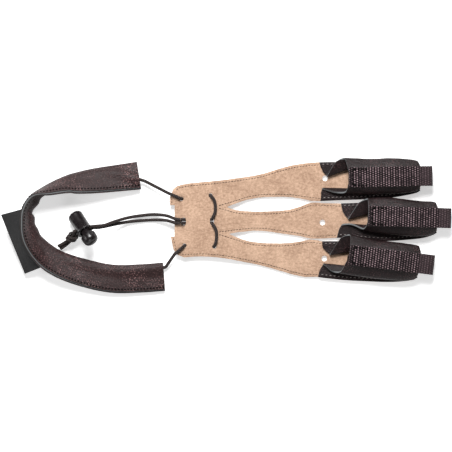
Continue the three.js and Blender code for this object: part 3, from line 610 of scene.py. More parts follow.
strap_floor_shares = [0.04, 0.13, 0.24, 0.38, 0.53, 0.68, 0.84, 1]
strap_steps = 220
strap_stations = [StrapStation(k / strap_steps) for k in range(strap_steps + 1)]
fold_share = 0.06
ply_points = 18
fold_points = 8
strap_around = 2 * ply_points + fold_points


def rippled(point, station, u, v):
    """Point moved by the leather's ripples and the creases at its kink, and kept off the table."""
    from_kink = u - buckle_share
    bend = math.exp(-((from_kink / crease_spread) ** 2))
    creases = math.sin(from_kink * crease_turns) * crease_depth * bend * (1 - abs(2 * v - 1)) ** 0.5
    ripple = noise.noise(point * 140) * 0.0002 + noise.noise(point * 420) * 0.00015 * bend
    moved = point + station.outer * (ripple + creases)
    moved.z = max(moved.z, skin / 2)
    return moved


def strap_surface(u, v):
    """Middle surface of the folded leather, v from one raw edge round the fold to the other."""
    station = strap_stations[round(u * strap_steps)]
    k = round(v * strap_around)
    if k <= ply_points:
        raw = station.raw_edge(-1)
        point = station.ply(raw + (fold_share - raw) * k / ply_points, -1)
    elif k >= ply_points + fold_points:
        raw = station.raw_edge(1)
        past_fold = k - ply_points - fold_points
        point = station.ply(fold_share + (raw - fold_share) * past_fold / ply_points, 1)
    else:
        angle = math.pi * (k - ply_points) / fold_points
        q = fold_share * (1 - math.sin(angle))
        height = -math.cos(angle) * (station.swell(fold_share) - skin / 2)
        point = station.middle(q) + station.outer * height - Vector((0, 0, station.floor))
    return rippled(point, station, u, v)


def leather_finish(name, dark, light, shine, grain_cells, grain_depth):
    """Full-grain leather: pebbled skin with painted highlights on its high spots, stronger in soft wide
    patches of wear.
    """
    made = Finish(name, {"Specular IOR Level": 0.27})
    place = made.coordinates("Object")
    drift = made.noise(place, 60, 4.0)
    jitter = made.node("ShaderNodeTexNoise", {}, {"Vector": place, "Scale": 700.0}, 1)
    warp = made.node("ShaderNodeMix", {"data_type": "VECTOR"}, {0: 0.0012, 4: place, 5: jitter}, 1)
    cells = made.node(
        "ShaderNodeTexVoronoi", {"feature": "SMOOTH_F1"},
        {"Vector": warp, "Scale": grain_cells, "Smoothness": 0.35},
    )
    fine = made.noise(place, grain_cells * 2.6, 4.0, 0.6)
    pebbles = (1 - cells) * 0.7 + fine * 0.45
    # Paler pebble tops: painted highlights on the grain, stronger where the wear patches are.
    high = made.ramp(pebbles, 0.58, 0.98)
    wear = made.ramp(drift, 0.38, 0.66)
    made.give("Base Color", made.shade(high * (wear * 0.8 + 0.2), dark, light))
    made.give("Roughness", shine + fine * 0.18 - wear * 0.07)
    made.relief(pebbles, grain_depth)
    return made


# The strap leather's light colour is the painted highlight on its pebble tops.
strap_leather = leather_finish(
    "strap_leather", (0.022, 0.0098, 0.0098, 1), (0.38, 0.205, 0.202, 1), 0.42, 950.0, 0.00034,
)
raw_edge = grainy_finish(
    "raw_cut_edge", {"Roughness": 0.9}, (0.055, 0.06, 0.063, 1), (0.23, 0.24, 0.245, 1),
    2600, 4.0, 0.7, 0.0002,
)


def leather_piece(name, form, thickness, finishes, edge):
    """Gives a sheet its thickness, with rounded raw edges in the second finish."""
    piece = finished_piece(name, form, finishes)
    wall = piece.modifiers.new("wall", "SOLIDIFY")
    wall.thickness = thickness
    wall.offset = 0
    wall.use_quality_normals = True
    wall.material_offset_rim = 1
    rim = piece.modifiers.new("raw_rim", "BEVEL")
    rim.width = edge
    rim.segments = 2
    rim.limit_method = "ANGLE"
    rim.angle_limit = math.radians(55)
    rim.material = 1
    return piece


cut_skin = grainy_finish(
    "cut_skin", {"Roughness": 0.6}, (0.006, 0.005, 0.005, 1), (0.03, 0.024, 0.022, 1), 2200, 4.0,
)
strap = leather_piece(
    "strap_leather_fold", grid_form(strap_steps, strap_around, strap_surface), skin,
    [strap_leather, cut_skin], edge=0.0002,
)
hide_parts("wrist_strap")


def flesh_surface(u, v):
    """Middle of the strap where the two flesh sides are pressed together, out to the raw edge."""
    station = strap_stations[round(u * strap_steps)]
    fuzz = noise.noise(station.edge * 1600) * fuzz_depth
    q = flesh_start + (1 - edge_step / 2 - flesh_start) * v + fuzz * v / strap_width
    return station.middle(q) - Vector((0, 0, station.floor))


flesh_thickness = 2 * (strap_ply - skin) - 0.00004
leather_piece(
    "strap_flesh_sides", grid_form(strap_steps, 4, flesh_surface), flesh_thickness,
    [raw_edge, raw_edge], edge=0.0001,
)

# Thread rows of the strap: one lockstitch row a few millimetres from the raw edges, pulled into
# the leather. The thread's near-black is partly its own colour and partly painted dent shade.
dark_thread_and_dent_shade = grainy_finish(
    "dark_thread_and_dent_shade", {"Roughness": 0.8, "Specular IOR Level": 0.1},
    (0.002, 0.0015, 0.0015, 1), (0.009, 0.007, 0.007, 1), 3000,
)
stitch_turn = 0.12
lie_along = Matrix.Rotation(math.pi / 2, 4, "Y")
strap_stitch = {"pitch": 0.0023, "length": 0.0014, "width": 0.0013, "lift": 0.00006}


def stitch_row(form, seam, normals, pitch, length, width, lift):
    """Adds one stitch to the form at each pitch of a seam, lying on the surface."""
    count = max(1, round(even_route(seam, 2)[1] / pitch))
    places = even_route(seam, count * 2)[0]
    for k in range(1, count * 2, 2):
        along = (places[k + 1] - places[k - 1]).normalized()
        near = min(len(normals) - 1, round(k / (count * 2) * (len(normals) - 1)))
        up = normals[near]
        up = (up - along * up.dot(along)).normalized()
        aside = up.cross(along)
        along = (along + aside * stitch_turn).normalized()
        aside = up.cross(along)
        turn = Matrix((along * length / 2, aside * width / 2, up * width * 0.4)).transposed().to_4x4()
        turn.translation = places[k] + up * lift
        bmesh.ops.create_uvsphere(form, u_segments=6, v_segments=5, radius=1.0, matrix=turn @ lie_along)


strap_stitches = bmesh.new()
seam_share = 1 - 0.0026 / strap_width
for side in (-1, 1):
    seam_line = []
    for k, station in enumerate(strap_stations):
        surface = station.ply(seam_share, side, skin / 2)
        seam_line.append(rippled(surface, station, k / strap_steps, 0.5 + 0.46 * side))
    seam_normals = [station.outer * side for station in strap_stations]
    stitch_row(strap_stitches, seam_line, seam_normals, **strap_stitch)
finished_piece("strap_stitches", strap_stitches, [dark_thread_and_dent_shade])

# Lace: the held part of the same cord. From the palm's middle hole it runs under the leather to
# the braces, over the palm's face in two bows, and through the strap's fold.
palm_thickness = 0.002
palm_lift = cord_diameter + cord_gap
cord_under = cord_diameter / 2
cord_over = palm_lift + palm_thickness + cord_gap + cord_diameter / 2
cord_pair = cord_diameter + cord_gap
lace_bend = 0.0022
lace_step = 0.0006
lace_leave = (0.004, 0.0015)


def rounded_line(corners):
    """Line through (point, radius) corners that are each rounded by their radius."""
    line = [corners[0][0]]
    for (before, _), (corner, radius), (after, _) in zip(corners, corners[1:], corners[2:]):
        back = before - corner
        ahead = after - corner
        turn = math.pi - back.angle(ahead, math.pi)
        reach = min(radius * math.tan(turn / 2), 0.48 * min(back.length, ahead.length))
        if reach < 0.00005:
            line.append(corner)
            continue
        start = corner + back.normalized() * reach
        end = corner + ahead.normalized() * reach
        middle = (start + end) / 2
        fit = reach / math.tan(turn / 2)
        centre = corner + (middle - corner).normalized() * math.hypot(fit, reach)
        steps = max(2, math.ceil(turn / math.radians(12)))
        for k in range(steps + 1):
            share = k / steps
            first = (start - centre) * (math.sin((1 - share) * turn) / math.sin(turn))
            line.append(centre + first + (end - centre) * (math.sin(share * turn) / math.sin(turn)))
    return [*line, corners[-1][0]]


lace_holes = {
    "upper_left": (0.078, 0.182),
    "lower_left": (0.098, -0.220),
    "middle_left": (0.094, -0.012),
    "brace_top": (0.271, 0.213),
    "brace_middle": (0.281, -0.010),
    "brace_bottom": (0.296, -0.229),
}
upper_bow = [(0.303, 0.065), (0.304, 0.117), (0.298, 0.173)]
lower_bow = [(0.309, -0.082), (0.312, -0.131), (0.310, -0.180)]


def at_hole(name, height, side=0):
    """Corner of the lace where it passes a hole."""
    return plan(*lace_holes[name], height) + Vector((0, side * cord_pair / 2, 0)), lace_bend


def middle_stub(side):
    """Start of the lace beside its hole, where it meets a draw cord."""
    point, _ = at_hole("middle_left", cord_over, side)
    return point - Vector((lace_bend + 0.0002, 0, 0)), 0


channel = [station.lace() for station in reversed(strap_stations)]
leave_upper = channel[0] + (channel[0] - channel[6]).normalized() * lace_leave[0]
leave_lower = channel[-1] + (channel[-1] - channel[-7]).normalized() * lace_leave[1]
lace_corners = [
    middle_stub(1), at_hole("middle_left", cord_over, 1), at_hole("middle_left", cord_under, 1),
    at_hole("brace_middle", cord_under, 1), at_hole("brace_middle", cord_over, 1),
    *[(plan(*place, cord_over), 0.009) for place in upper_bow],
    at_hole("brace_top", cord_over), at_hole("brace_top", cord_under),
    at_hole("upper_left", cord_under), at_hole("upper_left", cord_over),
    (plan(-0.012, 0.232, cord_over), 0.008), (leave_upper, 0.005),
    *[(point, 0) for point in channel],
    (leave_lower, 0.005), (plan(0.030, -0.296, cord_over), 0.004),
    at_hole("lower_left", cord_over), at_hole("lower_left", cord_under),
    at_hole("brace_bottom", cord_under), at_hole("brace_bottom", cord_over),
    *[(plan(*place, cord_over), 0.009) for place in reversed(lower_bow)],
    at_hole("brace_middle", cord_over, -1), at_hole("brace_middle", cord_under, -1),
    at_hole("middle_left", cord_under, -1), at_hole("middle_left", cord_over, -1), middle_stub(-1),
]
lace_form = tube_form(rounded_line(lace_corners), cord_diameter / 2, lace_step)
lace = finished_piece("lace_sheath", lace_form, [sheath, core])
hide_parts("lace_cord")

# Label at the strap's bend: a bare strip of black woven satin, sewn under the raw edge by one
# long side and hanging out over the table.
label_width = 0.0142
label_thickness = 0.0008
label_seam = 0.0012
label_tuck = 0.0006
label_curl = 0.0006
label_span = (0.403, 0.565)
label_reach = (Vector((-0.0124, -0.0049, -0.0042)), Vector((-0.0149, -0.0040, -0.0042)))
label_steps = 60


def label_seat(share):
    """Point of the label's sewn side."""
    station = StrapStation(share)
    raw = station.middle(1) - Vector((0, 0, station.floor))
    raw += station.outer * (strap_ply + cord_gap + label_thickness / 2)
    return raw - station.across * (label_seam + label_tuck)


label_free = [label_seat(share) + reach for share, reach in zip(label_span, label_reach)]
label_seats = [
    label_seat(label_span[0] + (label_span[1] - label_span[0]) * k / label_steps)
    for k in range(label_steps + 1)
]


def label_surface(u, v):
    """Middle surface of the label, v from its seam to its free side."""
    seat = label_seats[round(u * label_steps)]
    free = label_free[0].lerp(label_free[1], u)
    curl = Vector((0, 0, label_curl * math.sin(math.pi * u) * v))
    return seat.lerp(free, v) + curl


label_length = (label_free[1] - label_free[0]).length
label_form = grid_form(label_steps, 20, label_surface, (label_length, label_width))
label_cloth = Finish("label_satin", {"Specular IOR Level": 0.35, "Sheen Weight": 0.1})
label_uv = label_cloth.coordinates("UV")
warp_threads = (label_cloth.part(label_uv, 0) * (2 * math.pi / 0.00032)).maths("SINE")
weft_threads = (label_cloth.part(label_uv, 1) * (2 * math.pi / 0.00045)).maths("SINE")
satin = warp_threads * weft_threads * 0.5 + 0.5
label_dust = label_cloth.noise(label_cloth.coordinates("Object"), 500, 4.0)
label_tone = label_cloth.ramp(satin * 0.4 + label_dust * 0.6, 0.3, 0.9)
label_colour = label_cloth.shade(label_tone, (0.007, 0.007, 0.0075, 1), (0.03, 0.029, 0.03, 1))
label_cloth.give("Base Color", label_colour)
label_cloth.give("Roughness", label_dust * 0.3 + 0.5)
label_cloth.relief(satin, 0.00006)
label = leather_piece(
    "label_satin_strip", label_form, label_thickness * 0.8,
    [label_cloth, label_cloth], edge=0.0002,
)
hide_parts("strap_label")

# Palm leather: one piece of tan suede, fleshy side up, cut with three finger parts and two long
# slits, with punched holes for the lace and one at each finger's root.
palm_places = {
    "lower": [
        (0.094, -0.323), (0.202, -0.315), (0.292, -0.320), (0.381, -0.334), (0.471, -0.356),
        (0.605, -0.392), (0.739, -0.439), (0.829, -0.473), (0.901, -0.493),
    ],
    "upper": [
        (0.919, 0.492), (0.829, 0.475), (0.739, 0.446), (0.605, 0.394),
        (0.471, 0.365), (0.337, 0.342), (0.202, 0.325), (0.112, 0.313), (0.050, 0.295),
    ],
    "upper_slit_below": [
        (1.017, 0.145), (0.960, 0.151), (0.919, 0.140), (0.874, 0.117), (0.784, 0.087),
        (0.605, 0.073), (0.515, 0.076), (0.435, 0.087), (0.381, 0.111),
    ],
    "upper_slit_above": [
        (0.381, 0.111), (0.435, 0.140), (0.515, 0.174), (0.605, 0.194), (0.695, 0.199),
        (0.784, 0.198), (0.874, 0.184), (0.946, 0.164),
    ],
    "lower_slit_below": [
        (0.990, -0.174), (0.937, -0.169), (0.874, -0.184), (0.784, -0.199), (0.695, -0.201),
        (0.605, -0.196), (0.515, -0.179), (0.435, -0.143), (0.395, -0.121),
    ],
    "lower_slit_above": [
        (0.395, -0.121), (0.435, -0.109), (0.515, -0.098), (0.560, -0.092), (0.650, -0.098),
        (0.739, -0.115), (0.829, -0.132), (0.883, -0.143), (0.937, -0.160), (1.017, -0.160),
    ],
}
wrist_edge = [
    (0.023, 0.267), (0.000, 0.198), (0.000, 0.128), (0.031, 0.128), (0.031, -0.143),
    (0.005, -0.143), (0.023, -0.254), (0.050, -0.300),
]
punched_holes = [(1.037, 0.359), (1.020, -0.022), (1.032, -0.332)]
punched_hole = 0.004
lace_hole = 0.0029
ramp_start = 0.36
ramp_end = 0.6
palm_hidden = 0.0005
palm_tip = 0.985
edge_steps = 6
finger_steps = 26

stall_length = 0.0738
stall_width = 0.027
stall_places = [0, 0.12, 0.29, 0.5, 0.7, 0.85, 0.95, 1]
fingers = {
    "index": {
        "root": (0.997, 0.363),
        "heading": math.radians(1),
        "loop_reach": 0.0072,
        "mouth": 0.293,
        "front_up": [0.005, 0.029, 0.070, 0.160, 0.233, 0.262, 0.286],
        "front_low": [0.009, 0.017, 0.026, 0.126, 0.222, 0.262, 0.283],
        "seam_up": [0.42, 0.42, 0.41, 0.38, 0.35, 0.33, 0.28, 0.20],
        "crease_up": [-0.03, 0.07, 0.21, 0.23, 0.22, 0.22, 0.20, 0.17],
        "belly_up": [0.47, 0.49, 0.50, 0.46, 0.47, 0.44, 0.40, 0.32],
        "belly_low": [-0.39, -0.40, -0.41, -0.44, -0.43, -0.41, -0.37, -0.32],
        "crease_low": [-0.28, -0.29, -0.31, -0.33, -0.33, -0.32, -0.30, -0.27],
        "seam_low": [-0.62, -0.61, -0.60, -0.59, -0.56, -0.50, -0.44, -0.36],
    },
    "middle": {
        "root": (1.112, 0.046),
        "heading": math.radians(-1.8),
        "loop_reach": 0.0082,
        "mouth": 0.315,
        "front_up": [0.042, 0.061, 0.110, 0.209, 0.287, 0.302, 0.310],
        "front_low": [0.011, 0.025, 0.049, 0.162, 0.245, 0.279, 0.304],
        "seam_up": [0.30, 0.32, 0.35, 0.37, 0.37, 0.36, 0.31, 0.23],
        "crease_up": [-0.18, -0.10, 0.03, 0.11, 0.17, 0.20, 0.19, 0.17],
        "belly_up": [0.41, 0.42, 0.43, 0.48, 0.44, 0.41, 0.40, 0.32],
        "belly_low": [-0.27, -0.22, -0.38, -0.45, -0.48, -0.47, -0.41, -0.33],
        "crease_low": [-0.27, -0.25, -0.26, -0.29, -0.29, -0.30, -0.29, -0.27],
        "seam_low": [-0.62, -0.61, -0.65, -0.66, -0.61, -0.55, -0.46, -0.37],
    },
    "ring": {
        "root": (0.997, -0.266),
        "heading": math.radians(-7.1),
        "loop_reach": 0.0088,
        "mouth": 0.298,
        "front_up": [0.019, 0.032, 0.100, 0.187, 0.263, 0.287, 0.294],
        "front_low": [0.021, 0.028, 0.052, 0.128, 0.194, 0.243, 0.279],
        "seam_up": [0.26, 0.30, 0.35, 0.36, 0.36, 0.34, 0.29, 0.20],
        "crease_up": [-0.13, -0.06, 0.07, 0.15, 0.19, 0.20, 0.19, 0.17],
        "belly_up": [0.49, 0.50, 0.515, 0.46, 0.46, 0.46, 0.44, 0.36],
        "belly_low": [-0.48, -0.49, -0.51, -0.53, -0.52, -0.49, -0.43, -0.33],
        "crease_low": [-0.35, -0.33, -0.32, -0.32, -0.32, -0.31, -0.29, -0.27],
        "seam_low": [-0.70, -0.70, -0.69, -0.65, -0.60, -0.53, -0.45, -0.35],
    },
}


def stall_point(finger, at, across, height):
    """Point of a finger's stall from its share along it and its distance from its middle line."""
    cos = math.cos(finger["heading"])
    sin = math.sin(finger["heading"])
    along = at * stall_length
    turned = Vector((along * cos - across * sin, along * sin + across * cos, 0))
    return plan(*finger["root"], height) + turned


def finger_edge(finger, seam):
    """One edge of a finger's palm leather, from its root to its tip, hidden under the stall's seam."""
    edge = []
    for k in range(finger_steps + 1):
        at = 1 - (1 - k / finger_steps) ** 1.6
        across = lookup(stall_places, finger[seam], at) * stall_width
        hidden = math.copysign(palm_hidden * min(1, at / 0.08), across)
        edge.append(stall_point(finger, at * palm_tip, across - hidden, 0))
    return edge


def palm_height(x):
    """Height of the palm's underside: over the lace at the wrist, on the table at the fingers."""
    share = ((x - wrist_x) / palm_length - ramp_start) / (ramp_end - ramp_start)
    share = min(max(share, 0), 1)
    return palm_lift * (1 - share * share * (3 - 2 * share))


palm_edges = {
    name: smooth_route([plan(*place) for place in places], edge_steps)
    for name, places in palm_places.items()
}
palm_outline = [
    *palm_edges["lower"],
    *finger_edge(fingers["ring"], "seam_low"),
    *reversed(finger_edge(fingers["ring"], "seam_up")),
    *palm_edges["lower_slit_below"],
    *palm_edges["lower_slit_above"][1:],
    *finger_edge(fingers["middle"], "seam_low"),
    *reversed(finger_edge(fingers["middle"], "seam_up")),
    *palm_edges["upper_slit_below"],
    *palm_edges["upper_slit_above"][1:],
    *finger_edge(fingers["index"], "seam_low"),
    *reversed(finger_edge(fingers["index"], "seam_up")),
    *palm_edges["upper"],
    *[plan(*place) for place in wrist_edge],
]


def hole_line(place, diameter, length):
    """Round or long hole of the leather, long along Y."""
    rise = (length - diameter) / 2
    line = []
    for k in range(24):
        angle = math.pi * (k + 0.5) / 12
        shift = rise if angle < math.pi else -rise
        x = diameter / 2 * math.cos(angle)
        y = diameter / 2 * math.sin(angle) + shift
        line.append(plan(*place) + Vector((x, y, 0)))
    return line


palm_form = bmesh.new()
palm_lines = [palm_outline]
palm_lines += [hole_line(place, punched_hole, punched_hole) for place in punched_holes]
for name, place in lace_holes.items():
    palm_lines.append(hole_line(place, lace_hole, lace_hole + (cord_pair if "middle" in name else 0)))
fibre_reach = 0.00016
for line in palm_lines:
    corners = []
    for point in line:
        cell = point * 900
        ragged = Vector((noise.noise(cell), noise.noise(cell + Vector((5, 5, 5))), 0)) * fibre_reach
        if not corners or (point + ragged - corners[-1].co).length > 0.0002:
            corners.append(palm_form.verts.new(point + ragged))
    for a, b in zip(corners, [*corners[1:], corners[0]]):
        palm_form.edges.new((a, b))
bmesh.ops.triangle_fill(palm_form, edges=palm_form.edges[:], use_beauty=True, normal=(0, 0, 1))
palm_cut_pitch = 0.004
palm_waver = 0.00015
for normal, reach in (
    (Vector((1, 0, 0)), [point.x for point in palm_outline]),
    (Vector((0, 1, 0)), [point.y for point in palm_outline]),
):
    cut = min(reach) + palm_cut_pitch
    while cut < max(reach) - palm_cut_pitch / 2:
        parts = [*palm_form.verts, *palm_form.edges, *palm_form.faces]
        bmesh.ops.bisect_plane(palm_form, geom=parts, dist=1e-7, plane_co=normal * cut, plane_no=normal)
        cut += palm_cut_pitch
for corner in palm_form.verts:
    waver = abs(noise.noise(corner.co * 22)) * palm_waver
    corner.co.z = palm_height(corner.co.x) + palm_thickness / 2 + waver
bmesh.ops.recalc_face_normals(palm_form, faces=palm_form.faces)
if sum(face.normal.z for face in palm_form.faces) < 0:
    bmesh.ops.reverse_faces(palm_form, faces=palm_form.faces)

suede = Finish("suede_flesh_side", {"Roughness": 0.95, "Specular IOR Level": 0.2, "Sheen Weight": 0.15})
suede_place = suede.coordinates("Object")
nap = suede.noise(suede_place, 2300, 5.0, 0.75)
brushed = suede.node("ShaderNodeMapping", {}, {"Vector": suede_place, "Scale": (420, 1500, 800)})
streaks = suede.node("ShaderNodeTexNoise", {}, {"Vector": brushed, "Scale": 1.0, "Detail": 4.0})
patches = suede.noise(suede_place, 70, 5.0, 0.6)
specks = suede.ramp(suede.noise(suede_place, 1500, 3.0, 0.8), 0.58, 0.78)
clumps = suede.noise(suede_place, 620, 4.0, 0.6)
suede_tone = nap * 0.35 + clumps * 0.35 + streaks * 0.2 + patches * 0.3
suede_share = suede.ramp(suede_tone, 0.44, 0.76)
suede_base = suede.shade(suede_share, (0.325, 0.197, 0.130, 1), (0.670, 0.455, 0.322, 1))
suede.give("Base Color", suede.shade(specks * 0.45, suede_base, (0.30, 0.175, 0.115, 1)))
suede.relief(nap * 0.6 + streaks * 0.4, 0.00022)

suede_rim = grainy_finish(
    "suede_raw_rim", {"Roughness": 0.98, "Specular IOR Level": 0.15, "Sheen Weight": 0.2},
    (0.33, 0.197, 0.12, 1), (0.67, 0.432, 0.28, 1), 2600, 5.0, 0.8, 0.0003,
)

palm = leather_piece("palm_suede", palm_form, palm_thickness, [suede, suede_rim], 0.0004)
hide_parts("palm_leather")

# Palm stitching: a fine dark row just inside the long edges and round the slits, where it runs
# on past each slit's end as a narrow V, and a short row on each lug of the wrist edge.
seam_inset = 0.0019
seam_start = 0.42
palm_stitch = {"pitch": 0.0021, "length": 0.0017, "width": 0.00046, "lift": 0.00002}
palm_stitches = bmesh.new()


def inset_line(line, side, distance):
    """Line beside another, on its left for side 1 or its right for side -1."""
    beside = []
    for k, point in enumerate(line):
        ahead = line[min(k + 1, len(line) - 1)] - line[max(k - 1, 0)]
        beside.append(point + Vector((-ahead.y, ahead.x, 0)).normalized() * (side * distance))
    return beside


def on_palm(line):
    """The same line on top of the palm leather."""
    return [Vector((p.x, p.y, palm_height(p.x) + palm_thickness)) for p in line]


slit_seams = {
    "upper_slit_below": ((0.325, 0.104), ("middle", "seam_up", "front_up"), 1),
    "upper_slit_above": ((0.325, 0.122), ("index", "seam_low", "front_low"), -1),
    "lower_slit_below": ((0.325, -0.125), ("ring", "seam_up", "front_up"), 1),
    "lower_slit_above": ((0.325, -0.104), ("middle", "seam_low", "front_low"), -1),
}


def stall_corner(name, seam, front):
    """Place of the palm's edge where a stall's flange begins."""
    finger = fingers[name]
    return stall_point(finger, finger[front][0], finger[seam][0] * stall_width, 0)


lower_line = [plan(0.052, -0.303), *palm_edges["lower"], stall_corner("ring", "seam_low", "front_low")]
upper_line = [stall_corner("index", "seam_up", "front_up"), *palm_edges["upper"], plan(0.030, 0.275)]
seam_lines = [inset_line(lower_line, 1, seam_inset), inset_line(upper_line, 1, seam_inset)]
for name, (end, corner, side) in slit_seams.items():
    line = inset_line([stall_corner(*corner), *palm_edges[name][::side]], side, seam_inset)
    keep = [point for point in line if point.x > plan(seam_start, 0).x]
    seam_lines.append(smooth_route([*keep[::6], plan(*end)], 6))
seam_lines.append([plan(0.010, 0.190), plan(0.012, 0.140)])
seam_lines.append([plan(0.022, -0.152), plan(0.042, -0.262)])
for line in seam_lines:
    stitch_row(palm_stitches, on_palm(even_route(line, 80)[0]), [Vector((0, 0, 1))], **palm_stitch)
# The palm rows' near-black is partly the thread's own colour and partly painted dent shade.
finished_piece("palm_stitches", palm_stitches, [dark_thread_and_dent_shade])

# Finger stalls: thin dark leather, sewn by flanges to the finger parts, with walls that fold up
# and bulge out, a flat back under the elastic, and ears cut away in front of each mouth.
stall_wall = 0.0011
stall_rise = 0.01
fold_radius = 0.00095
belly_share = 0.45
webbing_width = 0.0144
webbing_crown = 0.0004
webbing_overlap = 0.0006
flange_middle = palm_thickness + cord_gap + stall_wall / 2
rise_places = [0, 0.3, 0.7, 0.85, 0.95, 1]
rise_shares = [1, 1, 0.96, 0.87, 0.74, 0.65]
stall_back = [0.985, 0.98, 0.965, 0.955, 0.955, 0.975, 0.99]
cut_places = [0, 0.5, 1, 1.55, 2, 2.5, 3]
stall_along = 60
stall_keys = ("seam_up", "crease_up", "belly_up", "belly_low", "crease_low", "seam_low")
stall_seams = (("seam_up", "front_up", -0.0016), ("seam_low", "front_low", 0.0023))
stall_stitch = {"pitch": 0.003, "length": 0.0016, "width": 0.0006, "lift": 0.00005}
half_points = [4, 5, 4, 9, 3, 4, 5]
stall_around = 2 * sum(half_points)


def bent_line(before, corner, after, share, steps):
    """Corner of a section, rounded over a share of both its sides, without its first point."""
    start = corner.lerp(before, share)
    end = corner.lerp(after, share)
    points = []
    for k in range(1, steps + 1):
        t = k / steps
        points.append(start * (1 - t) ** 2 + corner * (2 * t * (1 - t)) + end * t * t)
    return points


def straight_line(start, end, steps):
    """Even points from start to end, without the start."""
    return [start.lerp(end, k / steps) for k in range(1, steps + 1)]


def half_section(seam, crease, belly, rise, roundness):
    """Half of a stall's section as (across and height, cut) from its seam to its back."""
    flange_steps, fold_steps, wall_steps, belly_steps = half_points[:4]
    cheek_steps, shoulder_steps, back_steps = half_points[4:]
    centre = Vector((crease + fold_radius, flange_middle + fold_radius))
    shoulder = Vector((webbing_width / 2 - webbing_overlap, flange_middle + rise))
    back = Vector((0, flange_middle + rise + webbing_crown))
    sideways = (belly - roundness / 4 * (crease + shoulder.x)) / (1 - roundness / 2)
    bulge = Vector((sideways, flange_middle + rise * belly_share))
    to_bulge = bulge - centre
    leave = math.atan2(to_bulge.y, to_bulge.x) + math.acos(fold_radius / to_bulge.length)
    start = Vector((seam, flange_middle))
    fold_start = centre - Vector((0, fold_radius))
    line = [start, *straight_line(start, fold_start, flange_steps)]
    cuts = [k / flange_steps for k in range(flange_steps + 1)]
    for k in range(1, fold_steps + 1):
        angle = 1.5 * math.pi + (leave - 1.5 * math.pi) * k / fold_steps
        line.append(centre + Vector((math.cos(angle), math.sin(angle))) * fold_radius)
        cuts.append(1 + 0.1 * k / fold_steps)
    wall = line[-1]
    line += straight_line(wall, bulge.lerp(wall, roundness), wall_steps)
    line += bent_line(wall, bulge, shoulder, roundness, belly_steps)
    cheek_end = shoulder.lerp(bulge, 0.3)
    line += straight_line(line[-1], cheek_end, cheek_steps)
    line += bent_line(bulge, shoulder, back, 0.3, shoulder_steps)
    line += straight_line(line[-1], back, back_steps)
    belly_start = 2 - 0.9 * roundness
    belly_end = 2 + roundness
    for steps, first, last in (
        (wall_steps, 1.1, belly_start), (belly_steps, belly_start, belly_end),
        (cheek_steps, belly_end, 2.7), (shoulder_steps, 2.7, 3), (back_steps, 3, 3),
    ):
        cuts += [first + (last - first) * k / steps for k in range(1, steps + 1)]
    return list(zip(line, cuts))


def stall_section(finger, at):
    """Section of a stall from its upper seam to its lower, with the cut and side of each point."""
    value = {key: lookup(stall_places, finger[key], at) * stall_width for key in stall_keys}
    rise = lookup(rise_places, rise_shares, at) * stall_rise
    roundness = 0.3 + 0.2 * min(1, max(0, (at - 0.3) / 0.25))
    up = half_section(value["seam_up"], value["crease_up"], value["belly_up"], rise, roundness)
    low = half_section(-value["seam_low"], -value["crease_low"], -value["belly_low"], rise, roundness)
    section = [(p.x, p.y, cut, "front_up") for p, cut in up]
    return section + [(-p.x, p.y, cut, "front_low") for p, cut in reversed(low[:-1])]


def stall_surface_of(finger, seed):
    """Middle surface of one finger's leather."""
    marks = stall_section(finger, 0.5)

    def surface(u, v):
        k = round((1 - v) * stall_around)
        _, _, cut, side = marks[k]
        front = lookup(cut_places, finger[side], cut)
        back = lookup(cut_places, stall_back, cut)
        at = front + (back - front) * u
        across, height, _, _ = stall_section(finger, at)[k]
        point = stall_point(finger, at, across, height)
        free = min(1, max(0, (height - flange_middle) / 0.003))
        free *= 1 if abs(across) > webbing_width / 2 else 0.2
        long_fold = noise.noise(Vector((point.x * 28, point.y * 160 + seed, point.z * 160))) * 0.00035
        crumple = noise.noise(point * 300 + Vector((seed, 0, 0))) * 0.0001
        outward = Vector((0, math.copysign(1, across), 0.5))
        return point + outward * ((long_fold + crumple) * free)

    return surface


# The stall leather's light colour is the painted highlight on its pebble tops.
stall_leather = leather_finish(
    "stall_leather", (0.0075, 0.0030, 0.0032, 1), (0.165, 0.083, 0.087, 1), 0.38, 1150.0, 0.00030,
)
stall_thread = grainy_finish(
    "grey_brown_thread", {"Roughness": 0.7, "Sheen Weight": 0.2},
    (0.10, 0.08, 0.078, 1), (0.36, 0.31, 0.30, 1), 2600,
)
for number, (name, finger) in enumerate(fingers.items()):
    stall_form = grid_form(stall_along, stall_around, stall_surface_of(finger, 7.3 * number))
    stall = leather_piece(
        f"{name}_stall_leather", stall_form, stall_wall, [stall_leather, raw_edge],
        edge=0.00035,
    )
    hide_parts(f"{name}_stall")
    stall_stitches = bmesh.new()
    for seam, front, inward in stall_seams:
        seam_places = [finger[front][0] + 0.02 + (0.93 - finger[front][0]) * k / 60 for k in range(61)]
        seam_line = []
        for at in seam_places:
            across = lookup(stall_places, finger[seam], at) * stall_width + inward
            seam_line.append(stall_point(finger, at, across, flange_middle + stall_wall / 2))
        stitch_row(stall_stitches, seam_line, [Vector((0, 0, 1))], **stall_stitch)
    finished_piece(f"{name}_stall_stitches", stall_stitches, [stall_thread])

# Elastic of each stall: ribbed woven webbing, sewn down on the stall's back in a long box of
# stitches, then round the fingertip and down onto the palm leather.
webbing_thickness = 0.0012
webbing_lap = 0.003
rib_pitch = 0.0019
rib_depth = 0.00022
dot_pitch = 0.0016
box_length = 0.0135
box_inset = 0.0024
box_margin = 0.0014
box_stitch = {"pitch": 0.0029, "length": 0.0018, "width": 0.0016, "lift": 0.00022}
band_offset = (stall_wall + webbing_thickness) / 2 + cord_gap

